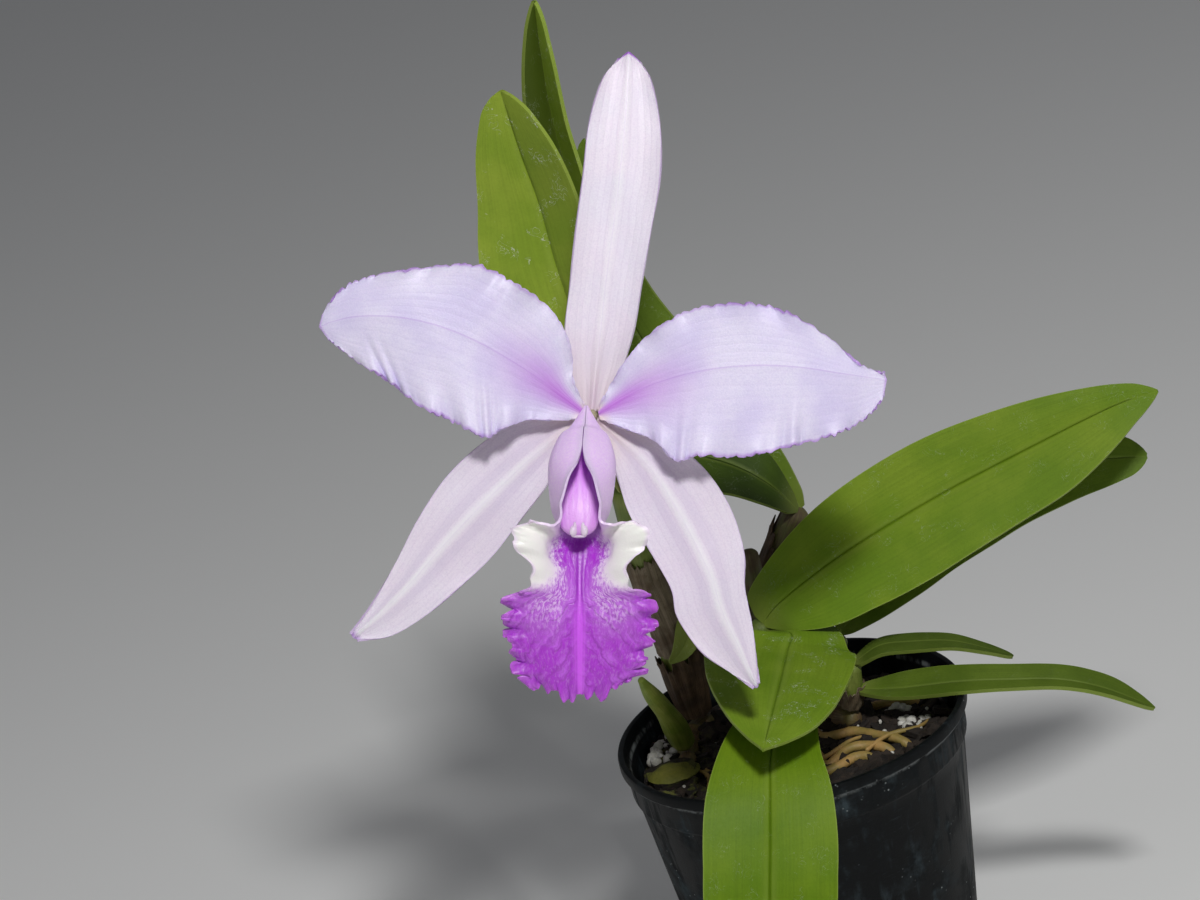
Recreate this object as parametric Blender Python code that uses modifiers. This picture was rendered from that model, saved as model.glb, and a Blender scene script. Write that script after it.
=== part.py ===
"""A potted orchid of the two-leaved kind, in flower.

The plant creeps over a round black nursery pot filled with bark mix.  One tall
stem carries a pair of upright leaves and a single flower that faces the front.
Lengths below are in millimetres; meshes are made in metres.
The pot stands on the ground plane with its axis on the world's vertical axis,
and the front of the plant looks along the negative Y axis.
"""
import math
import random

import bmesh
import bpy
import numpy as np

MM = 0.001
GAP = 0.3

# Pot
POT_HEIGHT = 74.0
POT_RIM_RADIUS = 40.0
POT_LIP_HEIGHT = 2.8
POT_GROOVE_RADIUS = 38.9
POT_COLLAR_RADIUS = 38.6
POT_COLLAR_BOTTOM = 64.6
POT_BODY_TOP_RADIUS = 37.9
POT_BODY_BOTTOM_RADIUS = 30.0
POT_WALL = 1.2
POT_FLOOR = 1.6
POT_STEPS = 40
DRAIN_HOLES = 5
DRAIN_HOLE_RADIUS = 3.5
DRAIN_CIRCLE_RADIUS = 18.0

# Potting mix
MIX_LEVEL = 66.0
MIX_MOUND = 2.0
MIX_STEPS = 28
CHIP_COUNT = 26
CHIP_SIZE = (3.4, 7.0)
PERLITE_COUNT = 6
PERLITE_SIZE = (1.2, 2.0)
MIX_SEED = 11
GRAIN_SPOTS = [(-31.0, 16.0), (-32.0, 12.5), (-29.0, 19.5), (-28.5, 14.0), (-30.5, 8.5), (24.0, 5.0), (27.0, -3.0)]
GREEN_CHIP_CENTRE = (-28.4, -2.4, 66.4)
GREEN_CHIP_SIZE = (5.6, 4.6, 2.8)

# Creeping stem and roots
RHIZOME_HEIGHT = 67.4
RHIZOME_RADIUS = 2.6
ROOT_RADIUS = 1.1
RHIZOME_RUNS = [
    [(-8.0, 28.0), (-7.0, 23.5), (-5.0, 17.0), (-4.0, 10.5), (2.0, 10.0), (8.0, 11.0), (12.0, 7.5), (15.0, 3.0)],
    [(-6.0, 20.0), (-13.0, 21.0), (-20.0, 20.0), (-23.5, 13.0), (-24.6, 5.0), (-24.8, 2.0)],
]
ROOTS = [
    [(4.0, 9.0, 66.6), (6.4, 0.0, 67.0), (12.9, -1.6, 67.4), (17.3, -5.9, 67.4), (22.7, -11.3, 66.8), (26.0, -14.5, 62.0)],
    [(1.0, 9.0, 66.4), (3.5, -3.0, 66.8), (5.0, -14.0, 66.8), (10.2, -10.5, 67.6), (14.5, -10.3, 67.4),
     (18.9, -13.5, 66.8), (22.0, -16.0, 62.0)],
    [(-3.0, 9.0, 66.4), (-1.5, -6.0, 66.8), (1.5, -16.5, 66.8), (6.4, -17.4, 67.2), (11.6, -14.6, 67.2),
     (15.0, -16.0, 66.6), (17.0, -18.5, 62.0)],
    [(12.0, 8.0, 66.6), (20.0, 9.0, 67.2), (29.0, 6.0, 66.8), (32.0, 3.0, 62.0)],
    [(-24.6, 4.0, 66.8), (-20.6, -5.0, 66.8), (-21.0, -13.0, 66.8), (-19.0, -18.0, 62.0)],
    [(-8.0, 26.0, 66.8), (-3.0, 29.0, 66.8), (5.0, 30.0, 66.4), (9.0, 29.0, 61.5)],
]

# Stems: points from the foot to the top, and the radius at each point
FLOWERING_STEM = [(-19.9, 20.0, 71.0), (-20.3, 19.0, 76.5), (-20.6, 17.0, 87.8), (-22.0, 14.5, 99.4),
                  (-23.6, 11.5, 111.8), (-23.9, 9.0, 125.7), (-23.3, 6.8, 135.2)]
FLOWERING_STEM_RADII = [3.2, 4.4, 4.2, 3.6, 3.3, 3.1, 3.7]
BACK_STEM = [(-7.0, 23.5, 71.0), (-5.6, 23.0, 77.0), (-2.5, 22.0, 84.6), (1.4, 22.0, 93.8), (5.4, 21.5, 101.8),
             (10.0, 21.0, 109.1), (13.8, 20.2, 114.6)]
BACK_STEM_RADII = [2.6, 3.2, 3.6, 3.8, 3.6, 3.2, 3.2]
OLD_STEM = [(-4.8, 16.0, 71.0), (-3.6, 14.6, 80.0), (-2.1, 14.0, 92.4), (-0.4, 14.3, 102.0), (0.0, 14.8, 110.0)]
OLD_STEM_RADII = [2.2, 2.4, 2.5, 2.4, 2.0]
RIGHT_UPPER_STEM = [(-4.0, 10.6, 70.5), (-4.2, 8.6, 80.0), (-2.8, 5.8, 90.0), (-0.9, 3.4, 97.0)]
RIGHT_UPPER_STEM_RADII = [2.6, 3.2, 3.2, 2.4]
RIGHT_LOWER_STEM = [(7.6, 11.2, 71.4), (9.6, 10.8, 76.0), (13.2, 9.8, 82.0), (15.0, 9.2, 87.0)]
RIGHT_LOWER_STEM_RADII = [2.5, 3.2, 3.0, 2.4]
SHORT_STEM = [(14.2, 5.0, 70.7), (15.0, 3.8, 74.5), (15.8, 2.8, 78.5), (16.8, 2.0, 82.2)]
SHORT_STEM_RADII = [2.2, 2.6, 2.3, 1.7]
NEW_SHOOT = [(-24.6, 5.6, 71.0), (-24.9, 4.0, 73.6), (-26.6, 0.0, 81.6), (-29.0, -4.0, 89.1), (-30.6, -7.2, 95.0)]
NEW_SHOOT_RADII = [2.7, 2.9, 2.2, 1.9, 0.7]
FLOWER_STALK = [(-23.3, 3.7, 135.4), (-23.9, -2.6, 147.4), (-25.2, -14.2, 159.4), (-26.2, -27.0, 166.0)]
FLOWER_STALK_RADII = [1.1, 1.1, 1.3, 1.8]

# Leaves: midrib from foot to tip, half widths at even steps on both sides, the
# way the upper side faces at the foot and the tip, how much each half is folded
# up, and how much the edges roll down
LEAF_THICKNESS = 1.4
LEAF_ROWS = 12
LEAF_COLUMNS = 6
LEAVES = dict(
    leaf_up_broad=dict(
        midrib=[(-24.2, 7.9, 136.3), (-24.6, 8.8, 155.0), (-25.3, 10.0, 172.7), (-26.4, 9.0, 188.1),
                (-26.8, 8.0, 201.7), (-28.1, 6.0, 215.1), (-28.9, 4.0, 229.1)],
        left=[1.6, 7.6, 12.6, 16.0, 16.8, 15.2, 12.2, 7.8, 0.6], right=[1.4, 3.9, 5.8, 7.3, 8.7, 9.7, 10.8, 9.4, 0.8],
        facing=[(-0.3, -0.95, 0.0), (-0.5, -0.86, 0.0)], fold=(0.34, 0.34), curl=0.06),
    leaf_up_folded=dict(
        midrib=[(-22.2, 10.0, 136.2), (-21.2, 14.0, 146.3), (-19.3, 18.0, 167.4), (-18.9, 20.0, 185.7),
                (-19.1, 20.0, 202.1), (-19.6, 19.0, 216.2), (-18.7, 17.0, 231.7), (-17.5, 15.0, 243.7)],
        left=[1.2, 4.0, 6.0, 7.2, 7.6, 7.6, 7.0, 5.3, 1.6], right=[1.2, 2.5, 2.5, 2.5, 2.4, 2.2, 2.0, 1.7, 0.8],
        facing=[(0.15, -0.98, 0.1), (0.15, -0.98, 0.1)], fold=(0.9, 2.6), curl=0.1),
    leaf_back_up=dict(
        midrib=[(14.9, 21.3, 116.2), (7.6, 25.0, 125.7), (-2.8, 29.0, 140.0), (-12.0, 31.0, 160.1),
                (-15.5, 30.0, 183.1), (-13.9, 28.0, 208.2)],
        left=[1.6, 4.9, 6.6, 7.0, 7.0, 6.6, 5.2, 3.4, 0.8], right=[1.8, 5.6, 8.2, 9.3, 9.3, 7.4, 5.4, 3.2, 0.6],
        facing=[(-0.2, -0.95, 0.2), (-0.2, -0.95, 0.2)], fold=(0.14, 0.14), curl=0.06),
    leaf_back_left=dict(
        midrib=[(11.9, 18.2, 116.4), (7.4, 16.5, 123.6), (0.6, 18.0, 129.4), (-9.6, 19.0, 135.0),
                (-26.2, 21.5, 142.6), (-46.4, 23.0, 154.8), (-60.2, 23.0, 164.6)],
        left=[1.8, 6.0, 9.0, 10.1, 9.6, 8.8, 7.8, 6.0, 0.6], right=[1.8, 6.0, 9.0, 10.0, 9.8, 9.2, 8.0, 6.0, 0.6],
        facing=[(0.2, -0.6, 0.8), (0.2, -0.6, 0.8)], fold=(0.14, 0.14), curl=0.06),
    leaf_right_upper=dict(
        midrib=[(-0.4, 2.4, 98.2), (4.8, 1.0, 101.7), (20.0, 0.0, 109.4), (41.2, -2.0, 117.5), (59.4, -4.0, 123.3),
                (82.8, -7.0, 130.3), (93.7, -9.0, 132.2)],
        left=[5.8, 9.3, 11.8, 12.8, 12.7, 11.4, 9.2, 5.8, 0.7], right=[2.9, 11.7, 14.5, 15.4, 14.9, 13.9, 12.5, 8.7, 0.7],
        facing=[(-0.3, -0.84, 0.46), (-0.3, -0.84, 0.46)], fold=(0.16, 0.16), curl=0.06),
    leaf_right_lower=dict(
        midrib=[(15.6, 9.6, 88.1), (30.5, 9.8, 98.1), (46.4, 9.6, 106.5), (61.1, 8.6, 111.6), (75.2, 7.4, 113.9),
                (91.1, 6.0, 112.0)],
        left=[1.8, 6.0, 9.4, 11.4, 11.6, 10.8, 9.4, 6.8, 1.0], right=[1.2, 5.7, 8.2, 8.9, 9.4, 8.9, 8.4, 6.6, 1.2],
        facing=[(-0.3, -0.84, 0.46), (-0.3, -0.84, 0.46)], fold=(0.14, 0.14), curl=0.08),
    leaf_front_short=dict(
        midrib=[(0.4, 2.0, 93.0), (4.4, -5.0, 94.2), (2.4, -12.0, 94.9), (-1.2, -30.0, 96.9), (-5.0, -45.0, 96.8),
                (-9.2, -58.0, 94.8)],
        left=[2.2, 9.6, 14.6, 15.2, 14.8, 13.8, 12.2, 8.6, 0.9], right=[2.0, 9.0, 15.2, 17.4, 16.8, 15.2, 12.4, 8.0, 0.7],
        facing=[(0.25, -0.2, 0.95), (0.15, -0.35, 0.92)], fold=(0.12, 0.12), curl=0.10),
    leaf_front_hanging=dict(
        midrib=[(14.7, 6.9, 88.1), (8.5, -3.5, 89.4), (2.4, -14.0, 88.8), (-1.7, -26.0, 88.8), (-5.0, -37.0, 88.6),
                (-7.8, -46.0, 86.5), (-10.1, -54.0, 81.3), (-12.7, -60.0, 73.0), (-15.3, -64.0, 63.8),
                (-17.9, -66.0, 51.1), (-19.4, -66.0, 44.0)],
        left=[1.8, 3.6, 5.8, 7.8, 10.2, 13.4, 14.2, 12.6, 1.6], right=[1.8, 3.6, 5.8, 7.8, 10.4, 13.6, 14.0, 12.4, 1.6],
        facing=[(0.0, -0.3, 0.95), (0.0, -0.95, 0.3)], fold=(0.12, 0.12), curl=0.06),
    leaf_young_upper=dict(
        midrib=[(17.3, 1.6, 83.2), (23.2, 1.0, 84.8), (30.0, 0.0, 84.4), (38.7, -1.5, 82.9), (45.9, -2.5, 79.6),
                (51.6, -3.0, 76.3)],
        left=[1.3, 2.2, 2.5, 2.7, 2.5, 2.3, 1.9, 1.4, 0.6], right=[1.5, 2.8, 3.3, 3.2, 3.0, 2.5, 1.9, 1.2, 0.5],
        facing=[(0.15, -0.1, 0.98), (0.15, -0.1, 0.98)], fold=(0.3, -0.1), curl=0.05),
    leaf_young_lower=dict(
        midrib=[(17.5, 0.8, 75.5), (25.1, -4.0, 75.7), (38.2, -9.0, 76.0), (48.9, -12.0, 74.9), (59.5, -14.0, 72.9),
                (68.8, -15.0, 68.6), (78.7, -15.0, 61.2)],
        left=[1.6, 4.4, 5.0, 4.6, 4.3, 4.2, 4.2, 3.6, 0.8], right=[1.2, 3.4, 4.1, 4.0, 3.4, 3.1, 2.6, 2.0, 0.7],
        facing=[(0.1, -0.25, 0.96), (0.1, -0.25, 0.96)], fold=(0.3, 0.15), curl=0.05),
    flower_sheath=dict(
        midrib=[(-23.4, 5.7, 135.4), (-23.8, 4.2, 143.0), (-24.6, 0.4, 152.8), (-25.4, -5.0, 161.0)],
        left=[1.6, 2.4, 2.8, 2.9, 2.8, 2.4, 1.9, 1.3, 0.5], right=[1.6, 2.4, 2.8, 2.9, 2.8, 2.4, 1.9, 1.3, 0.5],
        facing=[(0.0, -0.9, 0.3), (0.0, -0.6, 0.8)], fold=(0.6, 0.6), curl=0.0),
    small_bract=dict(
        midrib=[(-18.0, 11.6, 98.8), (-18.2, 9.6, 95.0), (-20.2, 8.4, 92.4), (-23.3, 7.4, 90.6)],
        left=[1.2, 2.0, 2.6, 2.8, 2.7, 2.4, 1.9, 1.2, 0.5], right=[1.2, 2.0, 2.6, 2.8, 2.7, 2.4, 1.9, 1.2, 0.5],
        facing=[(0.1, -0.95, 0.3), (0.1, -0.95, 0.3)], fold=(0.35, 0.35), curl=0.1),
)

# Flower: place and attitude of its own frame (right, up, out)
FLOWER_CENTRE = (-27.0, -45.0, 171.0)
FLOWER_TIPPED_UP = 19.8
FLOWER_LEAN = 14.0
SEAT_RADIUS = 2.6
PETAL_THICKNESS = 0.8
SEPAL_THICKNESS = 0.9
LIP_THICKNESS = 0.8


def material(name, colour, roughness, metallic=0.0):
    """A plain surface with one colour."""
    made = bpy.data.materials.new(name)
    made.use_nodes = True
    shader = made.node_tree.nodes["Principled BSDF"]
    shader.inputs["Base Color"].default_value = (*colour, 1.0)
    shader.inputs["Roughness"].default_value = roughness
    shader.inputs["Metallic"].default_value = metallic
    return made


def finish(obj, name, surface):
    """Name a piece, give it its surface and turn its faces outward."""
    obj.name = name
    obj.data.name = name
    obj.data.materials.clear()
    obj.data.materials.append(surface)
    shape = bmesh.new()
    shape.from_mesh(obj.data)
    bmesh.ops.recalc_face_normals(shape, faces=shape.faces)
    shape.to_mesh(obj.data)
    shape.free()
    return obj


def apply_all(obj):
    """Apply every modifier of one object."""
    bpy.ops.object.select_all(action="DESELECT")
    obj.select_set(True)
    bpy.context.view_layer.objects.active = obj
    for modifier in list(obj.modifiers):
        bpy.ops.object.modifier_apply(modifier=modifier.name)


def through(points, places):
    """Read a smooth line through evenly spaced points at places from 0 to 1."""
    knots = np.asarray(points, float)
    if knots.ndim == 1:
        knots = knots[:, None]
    last = len(knots) - 1
    knots = np.vstack([2 * knots[0] - knots[1], knots, 2 * knots[-1] - knots[-2]])
    reach = np.clip(places, 0.0, 1.0) * last
    start = np.minimum(reach.astype(int), last - 1)
    part = (reach - start)[:, None]
    before, here, there, after = (knots[start + step] for step in range(4))
    bend = 2 * before - 5 * here + 4 * there - after
    turn = 3 * (here - there) + after - before
    return here + 0.5 * part * (there - before + part * (bend + part * turn))


def unit(vectors):
    """Vectors scaled to a length of one."""
    return vectors / np.linalg.norm(vectors, axis=-1, keepdims=True)


def even(points, count=60):
    """Points spaced evenly along the smooth line through the given ones."""
    fine = through(points, np.linspace(0.0, 1.0, 400))
    run = np.concatenate([[0.0], np.cumsum(np.linalg.norm(np.diff(fine, axis=0), axis=1))])
    marks = np.linspace(0.0, run[-1], count)
    return np.stack([np.interp(marks, run, fine[:, axis]) for axis in range(3)], axis=1)


def sheet(name, surface, place, rows, columns, thickness):
    """A blade: a grid laid out by place(along, across), then thickened."""
    bpy.ops.mesh.primitive_grid_add(x_subdivisions=columns, y_subdivisions=rows, size=2.0)
    obj = bpy.context.object
    flat = np.empty(len(obj.data.vertices) * 3)
    obj.data.vertices.foreach_get("co", flat)
    grid = flat.reshape(-1, 3)
    points = place((grid[:, 1] + 1.0) / 2.0, grid[:, 0])
    obj.data.vertices.foreach_set("co", (points * MM).ravel())
    shape = bmesh.new()
    shape.from_mesh(obj.data)
    bmesh.ops.triangulate(shape, faces=shape.faces, quad_method="SHORT_EDGE")
    shape.to_mesh(obj.data)
    shape.free()
    skin = obj.modifiers.new("skin", "SOLIDIFY")
    skin.thickness = thickness * MM
    skin.offset = 0.0
    apply_all(obj)
    return finish(obj, name, surface)


def leaf_place(midrib, left, right, facing, fold, curl):
    """Lay a leaf along its midrib, with its own half width on either side."""
    line = even(midrib)

    def place(along, across):
        centre = through(line, along)
        ahead = unit(through(line, np.minimum(along + 0.01, 1.0)) - through(line, np.maximum(along - 0.01, 0.0)))
        up = through(facing, along)
        up = unit(up - ahead * np.sum(up * ahead, axis=1, keepdims=True))
        side = np.cross(ahead, up)
        reach = np.abs(across)[:, None]
        first = across[:, None] < 0.0
        width = np.where(first, through(left, along), through(right, along))
        lift = np.where(first, fold[0], fold[1]) * reach - curl * reach ** 2.5
        return centre + (side * across[:, None] + up * lift) * width

    return place


def tube(points, radii, spacing=3.0, roundness=2, stretch=0.0):
    """A round stem with a changing radius, capped and stretched at both ends."""
    count = max(3, int(round(length_of(points) / spacing)) + 1)
    spots = even(points, count)
    spots[0] += stretch * unit(spots[0] - spots[1])
    spots[-1] += stretch * unit(spots[-1] - spots[-2])
    sizes = through(radii, np.linspace(0.0, 1.0, len(spots)))[:, 0]
    curve = bpy.data.curves.new("stem", "CURVE")
    curve.dimensions = "3D"
    curve.bevel_depth = MM
    curve.bevel_resolution = roundness
    curve.use_fill_caps = True
    line = curve.splines.new("POLY")
    line.points.add(len(spots) - 1)
    for point, spot, size in zip(line.points, spots, sizes):
        point.co = (*(spot * MM), 1.0)
        point.radius = size
    holder = bpy.data.objects.new("stem", curve)
    bpy.context.collection.objects.link(holder)
    mesh = bpy.data.meshes.new_from_object(holder.evaluated_get(bpy.context.evaluated_depsgraph_get()))
    obj = bpy.data.objects.new("stem", mesh)
    obj.matrix_world = holder.matrix_world
    bpy.context.collection.objects.link(obj)
    bpy.data.objects.remove(holder, do_unlink=True)
    shape = bmesh.new()
    shape.from_mesh(mesh)
    bmesh.ops.remove_doubles(shape, verts=shape.verts, dist=0.00001)
    bmesh.ops.recalc_face_normals(shape, faces=shape.faces)
    shape.to_mesh(mesh)
    shape.free()
    return obj


def length_of(points):
    """Length of the smooth line through the points."""
    line = even(points)
    return float(np.sum(np.linalg.norm(np.diff(line, axis=0), axis=1)))


def group_of(name, members):
    """Put objects in a collection of their own."""
    group = bpy.data.collections.new(name)
    bpy.context.scene.collection.children.link(group)
    for member in members:
        for home in list(member.users_collection):
            home.objects.unlink(member)
        group.objects.link(member)
    return group


def combine(obj, members, operation, solver="MANIFOLD"):
    """Join members to an object, or cut them from it, in one step."""
    group = group_of(obj.name + "_" + operation.lower(), members)
    for member in members:
        member.hide_render = True
        member.display_type = "WIRE"
    step = obj.modifiers.new(operation.lower(), "BOOLEAN")
    step.operation = operation
    step.operand_type = "COLLECTION"
    step.collection = group
    step.solver = solver
    apply_all(obj)
    for member in members:
        bpy.data.objects.remove(member, do_unlink=True)
    bpy.data.collections.remove(group)
    return obj


def spun(name, profile, steps):
    """A solid turned round the vertical axis from (radius, height) pairs."""
    mesh = bpy.data.meshes.new(name)
    obj = bpy.data.objects.new(name, mesh)
    bpy.context.collection.objects.link(obj)
    spots = [(radius * MM, 0.0, height * MM) for radius, height in profile]
    mesh.from_pydata(spots, [(here, here + 1) for here in range(len(spots) - 1)], [])
    turn = obj.modifiers.new("turn", "SCREW")
    turn.angle = 2.0 * math.pi
    turn.axis = "Z"
    turn.steps = steps
    turn.render_steps = steps
    turn.use_merge_vertices = True
    turn.merge_threshold = 0.00001
    apply_all(obj)
    return obj


def pot_inner_radius(height):
    """Inside radius of the pot's wall at a height."""
    rise = (height - POT_FLOOR) / (POT_COLLAR_BOTTOM - POT_FLOOR)
    outer = POT_BODY_BOTTOM_RADIUS + (POT_BODY_TOP_RADIUS - POT_BODY_BOTTOM_RADIUS) * rise
    return outer - POT_WALL


def make_pot(surface):
    """The pot with its lip, groove, collar and drain holes."""
    lip_bottom = POT_HEIGHT - POT_LIP_HEIGHT
    inner_foot = pot_inner_radius(POT_FLOOR) - 0.4
    inner_top = POT_RIM_RADIUS - 2.4
    profile = [
        (0.0, POT_FLOOR),
        (inner_foot, POT_FLOOR),
        (pot_inner_radius(POT_COLLAR_BOTTOM), POT_COLLAR_BOTTOM),
        (inner_top, lip_bottom),
        (POT_RIM_RADIUS - 1.5, POT_HEIGHT - 0.3),
        (POT_RIM_RADIUS - 1.1, POT_HEIGHT),
        (POT_RIM_RADIUS - 0.4, POT_HEIGHT),
        (POT_RIM_RADIUS, POT_HEIGHT - 0.5),
        (POT_RIM_RADIUS, lip_bottom),
        (POT_GROOVE_RADIUS, lip_bottom - 0.4),
        (POT_COLLAR_RADIUS, POT_COLLAR_BOTTOM),
        (POT_BODY_TOP_RADIUS, POT_COLLAR_BOTTOM - 0.5),
        (POT_BODY_BOTTOM_RADIUS, 0.8),
        (POT_BODY_BOTTOM_RADIUS - 0.8, 0.0),
        (0.0, 0.0),
    ]
    pot = spun("pot", profile, POT_STEPS)
    drills = []
    for number in range(DRAIN_HOLES):
        angle = 2.0 * math.pi * number / DRAIN_HOLES
        spot = (DRAIN_CIRCLE_RADIUS * math.cos(angle) * MM, DRAIN_CIRCLE_RADIUS * math.sin(angle) * MM, 0.0)
        bpy.ops.mesh.primitive_cylinder_add(
            vertices=16, radius=DRAIN_HOLE_RADIUS * MM, depth=4.0 * POT_FLOOR * MM, location=spot)
        drills.append(bpy.context.object)
    combine(pot, drills, "DIFFERENCE")
    return finish(pot, "pot", surface)


def mix_height(x, y):
    """Height of the mix's top, a little heaped up at the back left."""
    heap = math.exp(-((x + 22.0) ** 2 + (y - 18.0) ** 2) / 260.0)
    ripple = 0.5 * math.sin(0.35 * x + 1.0) * math.cos(0.31 * y)
    fade = max(0.0, 1.0 - (math.hypot(x, y) / 37.0) ** 6)
    return MIX_LEVEL + (MIX_MOUND * heap + ripple) * fade


def make_chip(random_source, spot, size):
    """A rough flat piece of bark."""
    bpy.ops.mesh.primitive_cube_add(size=1.0)
    chip = bpy.context.object
    lengths = (size, size * random_source.uniform(0.5, 0.8), size * random_source.uniform(0.28, 0.42))
    for vertex in chip.data.vertices:
        for axis in range(3):
            vertex.co[axis] *= lengths[axis] * MM * random_source.uniform(0.75, 1.2)
    chip.rotation_euler = (
        random_source.uniform(-0.5, 0.5), random_source.uniform(-0.5, 0.5), random_source.uniform(0.0, math.pi))
    chip.location = [value * MM for value in spot]
    return chip


def make_grain(random_source, spot, size):
    """A small rounded white grain."""
    bpy.ops.mesh.primitive_ico_sphere_add(subdivisions=1, radius=size * MM)
    grain = bpy.context.object
    grain.scale = [random_source.uniform(0.8, 1.2) for _ in range(3)]
    grain.rotation_euler = [random_source.uniform(0.0, math.pi) for _ in range(3)]
    grain.location = [value * MM for value in spot]
    return grain


def make_mix(surface, cutters):
    """The mix that fills the pot, with chips and grains on its top."""
    foot = POT_FLOOR + GAP
    profile = [(0.0, MIX_LEVEL), (9.0, MIX_LEVEL), (18.0, MIX_LEVEL), (26.0, MIX_LEVEL), (32.0, MIX_LEVEL)]
    profile += [
        (pot_inner_radius(MIX_LEVEL) - 3.2 * GAP, MIX_LEVEL - 0.4),
        (pot_inner_radius(POT_COLLAR_BOTTOM) - 1.5 * GAP, POT_COLLAR_BOTTOM - 1.0),
        (pot_inner_radius(foot) - 2.5 * GAP, foot + 0.6),
        (pot_inner_radius(foot) - 5.0 * GAP, foot),
        (0.0, foot),
    ]
    mix = spun("potting_mix", profile, MIX_STEPS)
    for vertex in mix.data.vertices:
        if vertex.co.z > (MIX_LEVEL - 0.2) * MM:
            vertex.co.z = mix_height(vertex.co.x / MM, vertex.co.y / MM) * MM
    chance = random.Random(MIX_SEED)
    pieces = []
    for number in range(CHIP_COUNT):
        angle = 2.399963 * number
        radius = 31.5 * math.sqrt((number + 0.7) / CHIP_COUNT)
        x, y = radius * math.cos(angle), radius * math.sin(angle)
        size = chance.uniform(*CHIP_SIZE)
        pieces.append(make_chip(chance, (x, y, mix_height(x, y) + 0.05 * size), size))
    spots = list(GRAIN_SPOTS)
    for number in range(PERLITE_COUNT):
        angle = chance.uniform(0.0, 2.0 * math.pi)
        radius = 32.5 * math.sqrt(chance.uniform(0.1, 1.0))
        spots.append((radius * math.cos(angle), radius * math.sin(angle)))
    for x, y in spots:
        size = chance.uniform(*PERLITE_SIZE)
        pieces.append(make_grain(chance, (x, y, mix_height(x, y) + 0.35 * size), size))
    bpy.ops.mesh.primitive_cylinder_add(vertices=14, radius=1.0, depth=2.0)
    disc = bpy.context.object
    disc.scale = [value * MM for value in GREEN_CHIP_SIZE]
    disc.location = [value * MM for value in GREEN_CHIP_CENTRE]
    disc.rotation_euler = (0.12, -0.1, 0.3)
    pieces.append(disc)
    combine(mix, pieces, "UNION")
    combine(mix, cutters, "DIFFERENCE")
    return finish(mix, "potting_mix", surface)


def rhizome_parts(extra):
    """Runs of the creeping stem and its roots, thicker by extra."""
    parts = []
    for run in RHIZOME_RUNS:
        spots = [(x, y, RHIZOME_HEIGHT) for x, y in run]
        sizes = [0.8 * RHIZOME_RADIUS + extra] + [RHIZOME_RADIUS + extra] * (len(run) - 2)
        parts.append(tube(spots, sizes + [0.75 * RHIZOME_RADIUS + extra], spacing=5.5, roundness=2, stretch=extra))
    for spots in ROOTS:
        sizes = [ROOT_RADIUS + extra] * (len(spots) - 1) + [0.7 * ROOT_RADIUS + extra]
        parts.append(tube(spots, sizes, spacing=5.0, roundness=1, stretch=extra))
    return parts


def make_rhizome(surface):
    """The creeping stem with its roots as one piece."""
    parts = rhizome_parts(0.0)
    combine(parts[0], parts[1:], "UNION")
    return finish(parts[0], "rhizome", surface)


def flower_frame(points):
    """Turn points from the flower's own frame (right, up, out) into place."""
    lean, tip = math.radians(FLOWER_LEAN), math.radians(FLOWER_TIPPED_UP)
    right = (math.cos(lean), -math.sin(lean) * math.sin(tip), -math.sin(lean) * math.cos(tip))
    upward = (math.sin(lean), math.cos(lean) * math.sin(tip), math.cos(lean) * math.cos(tip))
    outward = (0.0, -math.cos(tip), math.sin(tip))
    return np.asarray(points) @ np.array([right, upward, outward]) + np.array(FLOWER_CENTRE)


def tepal_place(left, middle, right, depth, cup, keel, wave, wave_count, phase):
    """Lay a sepal or petal between its two edges and its midrib.

    The rails hold (right, up) pairs from the foot to the tip, and depth is how
    far out each station stands.  cup bends the edges out, keel sinks the
    midrib, and wave ruffles the edges wave_count times along the blade.
    """

    def place(along, across):
        rib = through(middle, along)
        edge = np.where(across[:, None] < 0.0, through(left, along), through(right, along))
        reach = np.abs(across)
        flat = rib + (edge - rib) * reach[:, None]
        out = through(depth, along)[:, 0] + through(cup, along)[:, 0] * reach ** 2 + keel * reach * (1.0 - reach)
        swell = np.sin(math.pi * np.clip(along, 0.0, 1.0)) ** 0.5
        ripple = np.sin(2.0 * math.pi * wave_count * along + phase + 1.7 * np.sign(across))
        ripple = ripple + 0.6 * np.sin(2.0 * math.pi * wave_count * 1.63 * along + 2.0 * phase)
        out = out + wave * ripple * swell * reach ** 4
        return flower_frame(np.column_stack([flat, out]))

    return place


DORSAL_SEPAL = dict(
    left=[(-1.3, 3.0), (-3.8, 9.2), (-5.0, 17.4), (-4.4, 26.6), (-3.2, 38.0), (-2.2, 49.4), (-0.9, 59.9),
          (2.0, 69.3), (6.2, 74.9)],
    middle=[(0.0, 3.2), (1.0, 9.6), (2.0, 17.8), (3.0, 27.2), (4.5, 38.4), (5.9, 50.0), (7.0, 60.9), (7.6, 70.2),
            (7.7, 75.9)],
    right=[(1.4, 3.0), (5.0, 8.8), (8.4, 17.4), (10.4, 26.8), (12.3, 37.6), (14.2, 48.8), (14.2, 59.3), (12.2, 68.5),
           (9.3, 74.5)],
    depth=[-2.3, -3.0, -3.6, -4.0, -4.4, -4.8, -5.4, -6.4, -7.6],
    cup=[0.3, 0.6, 0.8, 0.9, 1.0, 0.9, 0.7, 0.4, 0.0], keel=-0.9, wave=0.25, wave_count=3.0, phase=0.4)
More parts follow.
